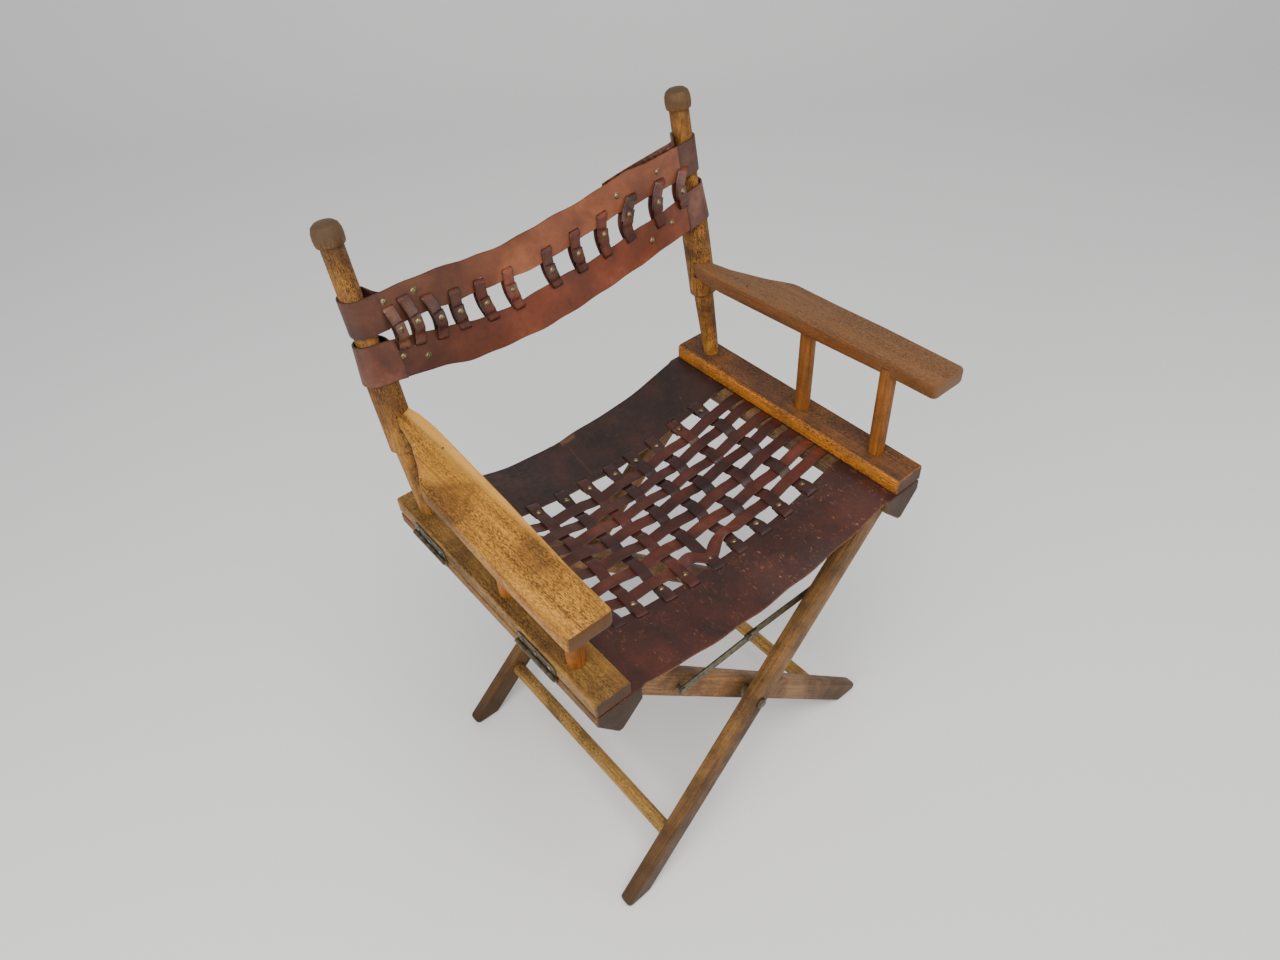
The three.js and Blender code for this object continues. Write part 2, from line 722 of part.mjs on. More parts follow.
// Back leather, drawn in a frame that leans with the posts: y square to them and z along them
const backFrame = new THREE.Group();
backFrame.position.set(0, postY, seatHeight);
backFrame.rotation.x = -postLean;
standing.add(backFrame);

const upperBand = {
  height: upperBandHeight, drop: upperBandDrop, bow: upperBandBow,
  left: postLength - upperBandLeftFromTop, right: postLength - upperBandRightFromTop,
  wrap: postNeckDiameter / 2 + clearance + leatherThickness / 2, shares: upperDropShares,
  flaps: [shortFlap, longFlap], flapSide: 1, slotShares: loopUpperShares,
};
const lowerBand = {
  height: lowerBandHeight, drop: lowerBandDrop, bow: lowerBandBow,
  left: postLength - lowerBandLeftFromTop, right: postLength - lowerBandRightFromTop,
  wrap: postThickDiameter / 2 + clearance + leatherThickness / 2, shares: lowerDropShares,
  flaps: [shortFlap, shortFlap], flapSide: -1, slotShares: loopLowerShares,
};

function dropShare(band, x) {
  const curve = new THREE.SplineCurve(band.shares.map((share, i) => new THREE.Vector2(i, share)));
  const along = THREE.MathUtils.clamp((x / postX + 1) / 2, 0, 1);
  return curve.getPoint(along).y;
}

function bandCentre(band, x) {
  const along = THREE.MathUtils.clamp((x / postX + 1) / 2, 0, 1);
  return THREE.MathUtils.lerp(band.left, band.right, along) - band.drop * dropShare(band, x);
}

function bandFront(band, x) {
  return -band.wrap + band.bow * dropShare(band, x);
}

// A strip of leather along a path seen from above
function strip(path) {
  const half = leatherThickness / 2;
  const offset = (amount) => path.map((point, i) => {
    const before = path[Math.max(0, i - 1)];
    const after = path[Math.min(path.length - 1, i + 1)];
    const along = new THREE.Vector2(after[0] - before[0], after[1] - before[1]).normalize();
    return [point[0] - along.y * amount, point[1] + along.x * amount];
  });
  return plainOutline([...offset(half), ...offset(-half).toReversed()]);
}

// The turn round a post: from its front round the outer side and the back to its inner side
function turnRoundPost(band, side) {
  const steps = 16;
  return [...Array(steps + 1).keys()].map((i) => {
    const angle = wrapTurn * i / steps - Math.PI / 2;
    return [side * (postX + band.wrap * Math.cos(angle)), band.wrap * Math.sin(angle)];
  });
}

// The flap leaves the turn and returns close behind the span
function flapPath(band, side, length) {
  const start = postX - band.wrap - flapTurn;
  const stations = 4;
  const points = [...Array(stations + 1).keys()].map((i) => {
    const x = side * THREE.MathUtils.lerp(start, postX - length, i / stations);
    return [x, bandFront(band, x) + layer];
  });
  return [...turnRoundPost(band, side).slice(-2), ...points];
}

function shifted(geometry, band) {
  return moved(geometry, (point) => {
    point.z += bandCentre(band, point.x);
  });
}

function backBand(band) {
  const stations = 24;
  const span = [...Array(stations - 1).keys()].map((i) => {
    const x = (2 * (i + 1) / stations - 1) * postX;
    return [x, bandFront(band, x)];
  });
  const half = band.height / 2;
  const wrap = [...turnRoundPost(band, -1).toReversed(), ...span, ...turnRoundPost(band, 1)];
  const flapLow = band.flapSide > 0 ? -half + flapMargin : -half;
  const flapHigh = band.flapSide > 0 ? half : half - flapMargin;
  const sheets = [shifted(fromAbove(strip(wrap), -half, half), band)];
  [-1, 1].forEach((side, i) => {
    sheets.push(shifted(fromAbove(strip(flapPath(band, side, band.flaps[i])), flapLow, flapHigh), band));
  });
  const slots = band.slotShares.map((share, i) => {
    const x = share * postX;
    const centre = bandCentre(band, x) - band.flapSide * (half - backSlotFromEdge);
    const room = leatherThickness / 2 + clearance;
    const wide = loopWidth / 2 + clearance + Math.abs(loopLean(i)) * leatherThickness;
    const front = bandFront(band, x);
    const deep = leatherThickness + layer / 2;
    return block(x - wide, x + wide, front - deep, front + deep, centre - room, centre + room);
  });
  return surface(cut(joined(sheets), slots));
}

function loopEnds(i) {
  const upperX = loopUpperShares[i] * postX;
  const lowerX = loopLowerShares[i] * postX;
  return {
    upperX,
    lowerX,
    top: bandCentre(upperBand, upperX) - upperBand.height / 2 + backSlotFromEdge,
    bottom: bandCentre(lowerBand, lowerX) + lowerBand.height / 2 - backSlotFromEdge,
  };
}

function loopLean(i) {
  const { upperX, lowerX, top, bottom } = loopEnds(i);
  return (upperX - lowerX) / (top - bottom);
}

// A loop of strap through a slot in each band, drawn together by its rivet
function backLoop(i) {
  const { upperX, lowerX, top, bottom } = loopEnds(i);
  const half = leatherThickness / 2;
  const wide = layer + half;
  const inner = layer - half;
  const upperEdge = top - backSlotFromEdge - loopSlack;
  const lowerEdge = bottom + backSlotFromEdge + loopSlack;
  const waist = (upperEdge + lowerEdge) / 2;
  const upperY = bandFront(upperBand, upperX);
  const lowerY = bandFront(lowerBand, lowerX);
  const waistY = (upperY + lowerY) / 2;
  const outline = plainOutline([
    [upperY - wide, top + half], [upperY - wide, upperEdge], [waistY - leatherThickness, waist],
    [lowerY - wide, lowerEdge], [lowerY - wide, bottom - half], [lowerY + wide, bottom - half],
    [lowerY + wide, lowerEdge], [waistY + leatherThickness, waist], [upperY + wide, upperEdge],
    [upperY + wide, top + half],
  ]);
  const windows = [
    [upperY, upperEdge + clearance, top - half], [lowerY, bottom + half, lowerEdge - clearance],
  ];
  outline.holes = windows.map(([y, low, high]) => new THREE.Path(
    [[y - inner, low], [y - inner, high], [y + inner, high], [y + inner, low]].map(([a, b]) => new THREE.Vector2(a, b))));
  return moved(fromSide(outline, upperX - loopWidth / 2, upperX + loopWidth / 2), (point) => {
    const up = THREE.MathUtils.clamp((point.z - lowerEdge) / (upperEdge - lowerEdge), 0, 1);
    point.x -= loopLean(i) * (top - point.z);
    point.y += THREE.MathUtils.lerp(
      bandFront(lowerBand, point.x) - lowerY, bandFront(upperBand, point.x) - upperY, up);
  });
}

// The outer frame carries the right rail, and the inner frame the left rail
function legFrame(prefix, railSide, rise, legCentre) {
  const railName = railSide > 0 ? 'right' : 'left';
  piece(standing, `${railName}_lower_rail`, oak, lowerRail(railSide, legCentre));
  [[-1, 'front'], [1, 'rear']].forEach(([end, place]) => {
    const holes = [stretcherSocketIn(rise, legCentre, end)];
    if (prefix === 'inner' && end < 0) {
      holes.push(rodAlongY(stayRivetDiameter + 2 * clearance, -acrossOuterLegs / 2,
        innerLegFrontAtStay() + stayRivetDepth + clearance, ...stayAnchor, 12));
    }
    piece(standing, `${prefix}_${place}_leg`, oak, leg(rise, end * legCentre, holes));
  });
  const [x, z] = onLeg(rise, -stretcherReach, 0);
  piece(standing, `${prefix}_stretcher`, oak, stretcher(legCentre)).position.set(x, 0, z);
  [[frontHinge, 'front'], [rearHinge, 'rear']].forEach(([y, place]) => {
    piece(standing, `${railName}_${place}_lower_leaf`, steel, lowerLeaf(railSide, y));
  });
}

legFrame('outer', 1, 1, outerLegCentre);
legFrame('inner', -1, -1, innerLegCentre);

piece(standing, 'rear_pivot_bolt', steel, pivotBolt()).position.set(0, 0, pivotHeight);
const frontBolt = piece(standing, 'front_pivot_bolt', steel, pivotBolt());
frontBolt.position.set(0, 0, pivotHeight);
frontBolt.rotation.z = Math.PI;

piece(standing, 'stay_front_link', steel, frontLink());
piece(standing, 'stay_back_link', bronze, backLink());

// The arm frames fold out of the way on their hinges
[[1, 'right'], [-1, 'left']].forEach(([side, name]) => {
  piece(standing, `${name}_upper_rail`, oak, upperRail(side));
  piece(standing, `${name}_post`, darkOak, post(side));
  piece(standing, `${name}_arm`, oak, arm(side));
  [[frontSpindle, 'front'], [middleSpindle, 'middle']].forEach(([y, place]) => {
    const spindle = rodAlongZ(spindleDiameter, -spindleSocket, armTop - armThickness - seatHeight + spindleSocket, 0, 0);
    piece(standing, `${name}_${place}_spindle`, oak, spindle).position.set(side * spindleX, y, seatHeight);
  });
  [[frontHinge, 'front'], [rearHinge, 'rear']].forEach(([y, place]) => {
    piece(standing, `${name}_${place}_upper_leaf`, steel, upperLeaf(side, y));
  });
});

// Seat
piece(standing, 'seat_front_band', seatLeather,
  seatBand(frontBandEdge, railFront + bandEdgeSetback, frontEdgePull, frontSlot));
piece(standing, 'seat_rear_band', seatLeather,
  seatBand(rearBandEdge, railBack - bandEdgeSetback, rearEdgePull, rearSlot));
crossPlaces.forEach((y, i) => {
  piece(standing, `seat_cross_strap_${i + 1}`, strapLeather, crossStrap(y, i % 2 === 0));
});
longPlaces.forEach((x, i) => {
  piece(standing, `seat_long_strap_${i + 1}`, strapLeather, longStrap(x, i % 2 === 1));
});

// Back
piece(backFrame, 'back_upper_band', backLeather, backBand(upperBand));
piece(backFrame, 'back_lower_band', backLeather, backBand(lowerBand));
const loops = loopUpperShares.map((share, i) => backLoop(i));
piece(backFrame, 'back_tangled_loops', strapLeather, surface(joined(loops.slice(0, tangledLoops))));
loops.slice(tangledLoops).forEach((loop, i) => {
  piece(backFrame, `back_loop_${i + 1}`, strapLeather, loop);
});

// The origin is on the floor, under the middle of the chair's length and width
const extent = new THREE.Box3().setFromObject(chair);
standing.position.y = -(extent.min.y + extent.max.y) / 2;

export default chair;
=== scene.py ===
# A folding armchair of oak and leather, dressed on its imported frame. Everything is in metres, with X
# to the right seen from the front, Y towards the back and Z up from the floor.
import random
from math import asin, copysign, cos, exp, inf, pi, radians, sin

import bpy
from mathutils import Euler, Matrix, Vector


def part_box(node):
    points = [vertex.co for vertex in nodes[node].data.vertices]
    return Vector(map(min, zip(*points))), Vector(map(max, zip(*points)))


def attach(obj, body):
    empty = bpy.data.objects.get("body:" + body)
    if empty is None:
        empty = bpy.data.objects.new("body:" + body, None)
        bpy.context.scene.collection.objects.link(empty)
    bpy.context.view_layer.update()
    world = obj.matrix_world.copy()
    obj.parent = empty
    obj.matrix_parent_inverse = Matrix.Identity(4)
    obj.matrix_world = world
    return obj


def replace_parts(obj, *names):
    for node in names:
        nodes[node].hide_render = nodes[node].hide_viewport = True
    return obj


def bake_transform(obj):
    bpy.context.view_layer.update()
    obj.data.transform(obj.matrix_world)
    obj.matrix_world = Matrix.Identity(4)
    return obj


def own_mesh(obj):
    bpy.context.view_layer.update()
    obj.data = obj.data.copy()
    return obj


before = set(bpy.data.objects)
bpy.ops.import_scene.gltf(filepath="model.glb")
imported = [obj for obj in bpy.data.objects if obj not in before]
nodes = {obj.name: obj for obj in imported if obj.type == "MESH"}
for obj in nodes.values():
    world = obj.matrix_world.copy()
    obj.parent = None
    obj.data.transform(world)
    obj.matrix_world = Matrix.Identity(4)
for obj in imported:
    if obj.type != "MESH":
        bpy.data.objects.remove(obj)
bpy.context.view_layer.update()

# Camera: a wide lens held above head height at the chair's front left corner, looking down. Its focal
# length and the middle of its picture are in pixels, fitted with its place to points of the chair.
picture_wide, picture_high = 1280, 960
focal_length, middle_across, middle_down = 919.9, 633.2, 474.4


def stand(name, data):
    """An object in the scene that holds a camera, a lamp or a mesh."""
    made = bpy.data.objects.new(name, data)
    bpy.context.scene.collection.objects.link(made)
    return made


camera = stand("camera", bpy.data.cameras.new("camera"))
camera.data.sensor_width = 36
camera.data.lens = 36 * (focal_length / picture_wide)
camera.data.shift_x = (picture_wide / 2 - middle_across) / picture_wide
camera.data.shift_y = (middle_down - picture_high / 2) / picture_wide
camera.location = (-0.5204, -0.6487, 1.2878)
camera.rotation_euler = Euler([radians(a) for a in (46.863, 2.991, -39.898)])
bpy.context.scene.camera = camera

# Studio: a pale floor that rises into a wall behind the chair, a broad soft light from above and in
# front, a weaker one from the left, and an even white surround.


def shade(red, green, blue):
    """A colour as the screen shows it, turned into the renderer's own scale."""
    return tuple(
        c / 12.92 if c <= 0.04045 else ((c + 0.055) / 1.055) ** 2.4
        for c in (red / 255, green / 255, blue / 255)
    ) + (1.0,)


def blank_material(name):
    made = bpy.data.materials.new(name)
    made.use_nodes = True
    return made, made.node_tree, made.node_tree.nodes["Principled BSDF"]


def floor_and_wall():
    reach, bend, height, half_wide, swing = 3.2, 0.8, 2.6, 4.5, -38
    profile = [(-reach, 0.0), (reach - bend, 0.0)]
    profile += [
        (reach - bend + bend * sin(a), bend - bend * cos(a))
        for a in (pi / 2 * i / 10 for i in range(1, 11))
    ]
    profile.append((reach, height))
    turn = Matrix.Rotation(radians(swing), 3, "Z")
    points = [turn @ Vector((x, y, z)) for y, z in profile for x in (-half_wide, half_wide)]
    faces = [(2 * i, 2 * i + 1, 2 * i + 3, 2 * i + 2) for i in range(len(profile) - 1)]
    mesh = bpy.data.meshes.new("studio_floor")
    mesh.from_pydata([tuple(p) for p in points], [], faces)
    mesh.shade_smooth()
    paint, _, skin = blank_material("pale_plaster")
    skin.inputs["Base Color"].default_value = shade(240, 240, 239)
    skin.inputs["Roughness"].default_value = 0.85
    mesh.materials.append(paint)
    stand("studio_floor", mesh)


def softbox(name, place, aim, size, power, tint):
    lamp = bpy.data.lights.new(name, "AREA")
    lamp.shape, lamp.size, lamp.energy, lamp.color = "SQUARE", size, power, tint
    holder = stand(name, lamp)
    holder.location = place
    holder.rotation_euler = (Vector(aim) - Vector(place)).to_track_quat("-Z", "Y").to_euler()


floor_and_wall()
softbox("overhead_light", (-0.5, -0.9, 2.6), (0, 0, 0.4), 1.6, 56, (1.0, 0.97, 0.93))
softbox("left_light", (-2.2, -0.4, 1.5), (0, 0, 0.5), 1.2, 25, (1.0, 0.99, 0.97))
softbox("right_light", (1.6, -1.9, 1.2), (0, 0, 0.5), 1.0, 12, (1.0, 0.97, 0.93))
surround = bpy.data.worlds.new("surround")
surround.use_nodes = True
surround.node_tree.nodes["Background"].inputs["Color"].default_value = (0.95, 0.97, 1.0, 1)
surround.node_tree.nodes["Background"].inputs["Strength"].default_value = 0.52
bpy.context.scene.world = surround

# Wooden parts: old oiled oak with open pores, golden on the left arm and browner on some flat tops, with
# painted shade on the right arm's sides and a painted highlight along the left arm. The solids come from
# the frame and get softened edges and a grain that runs with the work.


def put(tree, kind, inputs=None, **settings):
    made = tree.nodes.new(kind)
    for key, value in settings.items():
        setattr(made, key, value)
    for key, value in (inputs or {}).items():
        if isinstance(value, bpy.types.NodeSocket):
            tree.links.new(value, made.inputs[key])
        else:
            made.inputs[key].default_value = value
    return made


def noise(tree, place, scale, detail=2.0, rough=0.5, distortion=0.0):
    return put(tree, "ShaderNodeTexNoise", {
        "Vector": place, "Scale": scale, "Detail": detail, "Roughness": rough, "Distortion": distortion,
    }).outputs["Fac"]


def stops(tree, factor, *points):
    """A ramp: points are (position, colour) with the colour as four numbers or one grey."""
    ramp = put(tree, "ShaderNodeValToRGB", {"Fac": factor})
    band = ramp.color_ramp
    while len(band.elements) < len(points):
        band.elements.new(1.0)
    for element, (position, colour) in zip(band.elements, points):
        element.position = position
        element.color = colour if hasattr(colour, "__len__") else (colour, colour, colour, 1)
    return ramp.outputs["Color"]


def mixed(tree, share, first, second):
    """The first colour, turned into the second one by a share."""
    return put(tree, "ShaderNodeMix", {0: share, 6: first, 7: second}, data_type="RGBA").outputs[2]


def times(tree, first, second, kind="MULTIPLY"):
    return put(tree, "ShaderNodeMath", {0: first, 1: second}, operation=kind).outputs["Value"]


def alike(tree, first, second):
    """How far two directions agree: 1 where they are the same, 0 where they are square."""
    return put(tree, "ShaderNodeVectorMath", {0: first, 1: second}, operation="DOT_PRODUCT").outputs["Value"]


def ranged(tree, value, start, end, low=0.0, high=1.0):
    """A value that runs from start to end, made to run from low to high."""
    return put(tree, "ShaderNodeMapRange", {
        "Value": value, "From Min": start, "From Max": end, "To Min": low, "To Max": high,
    }).outputs["Result"]


def measure(tree, vector, axis):
    return put(tree, "ShaderNodeSeparateXYZ", {"Vector": vector}).outputs[axis]


def dress(tree, skin, colour, roughness, bump):
    for name, source in ("Base Color", colour), ("Roughness", roughness), ("Normal", bump.outputs["Normal"]):
        tree.links.new(source, skin.inputs[name])


def oak(name, along, tones, grime, top_tone_share, stain, seed, colour_bands=(), pits=0.8):
    """Oak whose grain runs along one direction, in a light, a middle and a dark tone. Grime darkens it in
    patches, its flat tops turn towards the dark tone by a share, stains blot it, its end faces darken,
    partly as painted shade, and pits are its open pores. Colour bands turn it to a colour by a share,
    between two places along an axis: hand wear on the posts, a painted highlight on the left arm and a
    darkening towards the feet of the legs."""
    made, tree, skin = blank_material(name)
    light, middle, dark = (shade(*tone) for tone in tones)
    grain = Vector(along).normalized()
    turn = grain.rotation_difference(Vector((1, 0, 0))).to_euler()
    place = put(tree, "ShaderNodeTexCoord")
    lying = put(tree, "ShaderNodeMapping", {
        "Vector": place.outputs["Object"], "Rotation": turn, "Location": (seed, seed * 0.7, seed * 0.3),
    }).outputs["Vector"]

    def drawn_out(share, *texture):
        scaled = put(tree, "ShaderNodeMapping", {"Vector": lying, "Scale": (share, 1, 1)})
        return noise(tree, scaled.outputs["Vector"], *texture)

    def darker(share):
        return tuple(c * share for c in dark[:3]) + (1.0,)

    figure = drawn_out(0.05, 95, 4, 0.55, 0.6)
    streaks = drawn_out(0.02, 420, 3, 0.6)
    pores = stops(tree, drawn_out(0.2, 1200, 2, 0.6), (0.46, 0.0), (0.56, 1.0))
    pores = times(tree, pores, stops(tree, drawn_out(0.1, 60, 2), (0.32, 0.35), (0.6, 1.0)))
    patches = noise(tree, lying, 14, 5, 0.62, 0.4)
    body = stops(tree, figure, (0.3, middle), (0.52, light), (0.72, middle))
    body = mixed(tree, times(tree, stops(tree, patches, (0.43, 0.0), (0.62, 1.0)), grime), body, dark)
    if top_tone_share:
        tops = stops(tree, measure(tree, place.outputs["Normal"], "Z"), (0.55, 0.0), (0.95, 1.0))
        uneven = stops(tree, noise(tree, lying, 22, 4, 0.6), (0.3, 0.7), (0.7, 1.0))
        body = mixed(tree, times(tree, times(tree, tops, uneven), top_tone_share), body, dark)
    body = mixed(tree, stops(tree, streaks, (0.42, 0.0), (0.7, 0.5)), body, darker(0.5))
    body = mixed(tree, times(tree, pores, pits), body, darker(0.3))
    blots = stops(tree, drawn_out(0.35, 26, 4, 0.7, 1.2), (0.6, 0.0), (0.7, 1.0))
    body = mixed(tree, times(tree, blots, stain), body, (0.012, 0.008, 0.006, 1))
    # End faces turn darker: partly darker end grain, partly painted shade.
    end_on = times(tree, alike(tree, place.outputs["Normal"], grain), 0, "ABSOLUTE")
    end_grain_and_shade = stops(tree, end_on, (0.6, 0.0), (0.85, 0.95))
    body = mixed(tree, end_grain_and_shade, body, darker(0.8))
    # Bands of another colour: hand wear on the posts, a painted highlight on the left arm, and darker towards
    # the feet on the legs.
    for axis, start, end, colour, share in colour_bands:
        worn = stops(tree, patches, (0.35, share), (0.65, share * 0.7))
        if axis == 0:
            worn = times(tree, worn, times(tree, 1.0, end_grain_and_shade, "SUBTRACT"))
        reached = ranged(tree, measure(tree, place.outputs["Object"], axis), start, end)
        body = mixed(tree, times(tree, reached, worn), body, shade(*colour))
    rounded = put(tree, "ShaderNodeBevel", {"Radius": 0.0025}, samples=4).outputs["Normal"]
    flat = put(tree, "ShaderNodeNewGeometry").outputs["Normal"]
    corner = stops(tree, alike(tree, rounded, flat), (0.78, 1.0), (0.985, 0.0))
    rub = times(tree, corner, stops(tree, noise(tree, lying, 70, 3), (0.4, 0.1), (0.62, 0.75)))
    body = mixed(tree, rub, body, dark)
    skin.inputs["Specular IOR Level"].default_value = 0.26
    relief = times(tree, times(tree, pores, -1.0), times(tree, streaks, 0.5), "ADD")
    bump = put(tree, "ShaderNodeBump", {"Height": relief, "Strength": 0.55, "Distance": 0.0004})
    dress(tree, skin, body, ranged(tree, patches, 0.3, 0.75, 0.46, 0.7), bump)
    return made


def smoothing_tree():
    """Welds a solid's corners and shades it smooth except where two faces meet at a sharp angle."""
    tree = bpy.data.node_groups.new("soft_shading", "GeometryNodeTree")
    tree.interface.new_socket("Geometry", in_out="INPUT", socket_type="NodeSocketGeometry")
    tree.interface.new_socket("Geometry", in_out="OUTPUT", socket_type="NodeSocketGeometry")
    start, end = tree.nodes.new("NodeGroupInput"), tree.nodes.new("NodeGroupOutput")
    bare = put(tree, "GeometryNodeRemoveAttribute", {"Geometry": start.outputs[0], "Name": "custom_normal"})
    weld = put(tree, "GeometryNodeMergeByDistance", {"Geometry": bare.outputs[0], "Distance": 0.00002})
    smooth = put(tree, "GeometryNodeSetShadeSmooth", {"Geometry": weld.outputs[0], "Shade Smooth": True})
    angle = put(tree, "GeometryNodeInputMeshEdgeAngle").outputs["Unsigned Angle"]
    sharp = put(tree, "FunctionNodeCompare", {"A": angle, "B": radians(32)}, operation="GREATER_THAN")
    creased = put(tree, "GeometryNodeSetShadeSmooth", {
        "Geometry": smooth.outputs[0], "Selection": sharp.outputs[0], "Shade Smooth": False,
    }, domain="EDGE")
    tree.links.new(creased.outputs[0], end.inputs[0])
    return tree


soft_shading = smoothing_tree()


def finish_solid(name, paint, edge=0.0008):
    piece = nodes[name]
    for place in range(len(piece.material_slots)):
        piece.material_slots[place].link = "OBJECT"
        piece.material_slots[place].material = paint
    shading = piece.modifiers.new("soft_shading", "NODES")
    shading.node_group = soft_shading
    if edge:
        rounding = piece.modifiers.new("worn_edges", "BEVEL")
        rounding.width, rounding.segments = edge, 2
        rounding.limit_method, rounding.angle_limit = "ANGLE", radians(38)
        rounding.harden_normals = True


lengthwise, upright = (0, 1, 0), (0, 0, 1)
left_arm_inside = max(corner[0] for corner in nodes["left_arm"].bound_box)
# A painted highlight: a pale golden stripe along the left arm's top, near its inner edge.
painted_highlight_stripe = [(0, left_arm_inside - 0.018, left_arm_inside - 0.012, (222, 164, 74), 0.8)]
# Light, middle and dark tone, grime in patches, share of flat tops turned to the dark tone, stain, the
# grain's place, and bands of another colour
timbers = {
    "left_arm": ("left_arm", ((204, 144, 58), (172, 116, 42), (98, 62, 28)),
                 0.75, 0.0, 0.3, 3.1, painted_highlight_stripe),
    # Painted shade: the right arm's light and middle tones are darkened for its shaded sides, and its flat
    # tops turn to its paler third tone.
    "right_arm": ("right_arm", ((132, 76, 28), (102, 58, 20), (124, 89, 58)), 0.3, 0.88, 0.3, 5.7),
    "left_upper_rail": ("left_rail", ((190, 142, 68), (158, 112, 50), (76, 50, 28)), 0.6, 0.35, 0.3, 8.2),
    "right_upper_rail": ("right_rail", ((222, 138, 44), (192, 114, 34), (74, 51, 39)), 0.4, 0.97, 0.3, 1.4),
    "left_lower_rail": ("left_seat_rail", ((160, 112, 52), (128, 86, 38), (62, 41, 24)), 0.7, 0.0, 0.4, 2.6),
    "right_lower_rail": ("right_seat_rail", ((140, 104, 66), (112, 80, 50), (66, 46, 32)), 0.7, 0.0, 0.3, 4.4),
}
for timber, (paint, tones, *wear) in timbers.items():
    finish_solid(timber, oak(f"{paint}_oak", lengthwise, tones, *wear))

# Legs: four flat bars that cross in pairs, cut level at the foot and tenoned into the lower rails,
# with a round stretcher between each pair. They are browner than the arms and dark at the feet.
foot_out, pivot_up = 0.235, 0.236
leg_rise = Vector((foot_out, 0, pivot_up)).normalized()
# The legs turn darker towards their feet.
leg_dark, darker_towards_feet = (58, 39, 23), [(2, 0.17, 0.02, (54, 36, 18), 0.9)]
for pair, rise, light, middle, grime, seed in (
    ("outer", 1, (150, 106, 54), (116, 80, 38), 0.7, 0.3),
    ("inner", -1, (172, 122, 72), (142, 98, 56), 0.6, 6.1),
):
    for end, shift in (("front", 0.0), ("rear", 2.3)):
        bar = oak(f"{pair}_{end}_leg_oak", (rise * leg_rise.x, 0, leg_rise.z), (light, middle, leg_dark),
                  grime, 0.0, 0.4, seed + shift, darker_towards_feet, 0.5)
        finish_solid(f"{pair}_{end}_leg", bar, 0.003)
    rod = oak(f"{pair}_stretcher_oak", lengthwise, ((200, 154, 80), (166, 120, 54), (74, 49, 28)),
              0.6, 0.0, 0.25, seed + 4)
    finish_solid(f"{pair}_stretcher", rod, 0)

# Posts and spindles: turned rods. The posts have flats along their thick part, a thin neck for the
# back leather and a knob, darkened by hands.
post_hands = [(2, 0.835, 0.85, (98, 78, 56), 0.85), (2, 0.80, 0.826, (62, 40, 24), 0.55)]
for side, tint, spindle_scale, seed in (("left", (0, -4, -6), 1.0, 9.0), ("right", (22, 6, -12), 0.84, 12.5)):
    light, middle = (tuple(a + b for a, b in zip(c, tint)) for c in ((178, 128, 60), (144, 96, 40)))
    post_oak = oak(f"{side}_post_oak", upright, (light, middle, (74, 47, 28)),
                   0.85, 0.0, 0.75, seed, post_hands)
    finish_solid(f"{side}_post", post_oak, 0.0006)
    # The right spindles' tones are scaled darker than the left ones'.
    light, middle = (tuple(spindle_scale * c for c in tone) for tone in ((196, 120, 46), (166, 96, 34)))
    for spot, seed in (("front", 1.0), ("middle", 2.0)):
        rod = oak(f"{side}_{spot}_spindle_oak", upright, (light, middle, (84, 52, 26)),
                  0.4, 0.0, 0.3, seed, (), 0.3)
        finish_solid(f"{side}_{spot}_spindle", rod, 0)

# Ironwork: patinated steel hinges on the rails' outer faces, the folding stay between the front legs
# and the pivot bolts of the legs. The stay's rear link is a duller, greyer brass.


def old_metal(name, tones, polish=0.45):
    """Patinated metal in a bright, a dull and a rusty tone."""
    made, tree, skin = blank_material(name)
    bright, dull, rust = (shade(*tone) for tone in tones)
    place = put(tree, "ShaderNodeTexCoord").outputs["Object"]
    specks = noise(tree, place, 900, 3, 0.6)
    body = stops(tree, noise(tree, place, 160, 5, 0.65), (0.35, dull), (0.68, bright))
    body = mixed(tree, stops(tree, noise(tree, place, 70, 5, 0.7), (0.52, 0.0), (0.68, 0.7)), body, rust)
    skin.inputs["Metallic"].default_value = 0.85
    bump = put(tree, "ShaderNodeBump", {"Height": specks, "Strength": 0.35, "Distance": 0.0002})
    dress(tree, skin, body, ranged(tree, specks, 0.3, 0.7, polish - 0.1, polish + 0.2), bump)
    return made


dark_steel = old_metal("dark_steel", ((126, 116, 94), (70, 64, 52), (80, 58, 38)))
dull_brass = old_metal("dull_brass", ((132, 122, 92), (78, 72, 54), (70, 56, 38)))
leaves = [name for name in sorted(nodes) if name.endswith("_leaf")]
for name in leaves + ["front_pivot_bolt", "rear_pivot_bolt", "stay_front_link", "stay_back_link"]:
    finish_solid(name, dull_brass if name == "stay_back_link" else dark_steel, 0.0003)

# Screws and nails: three slotted screws hold each hinge leaf. A small nail in each arm's top and two in
# each upper rail's outer face pin the spindles and posts.


def shell(name, parts, paint, crease):
    """One mesh object from several parts, each (points, faces, wear): wear is 1 on worn cut edges and where
    leather is painted dark as its shaded back.
    """
    points, faces, wear = [], [], []
    for part_points, part_faces, part_wear in parts:
        start = len(points)
        points += [tuple(p) for p in part_points]
        faces += [tuple(start + i for i in face) for face in part_faces]
        wear += part_wear
    mesh = bpy.data.meshes.new(name)
    mesh.from_pydata(points, [], faces)
    mesh.attributes.new("wear", "FLOAT", "POINT").data.foreach_set("value", wear)
    mesh.shade_smooth()
    mesh.set_sharp_from_angle(angle=radians(crease))
    mesh.materials.append(paint)
    return stand(name, mesh)


def ring_faces(rings, size, start=0):
    """The faces between rings of points that follow each other, with size points in each ring."""
    return [
        (low + (i + 1) % size, low + i, low + size + i, low + size + (i + 1) % size)
        for low in range(start, start + (rings - 1) * size, size) for i in range(size)
    ]


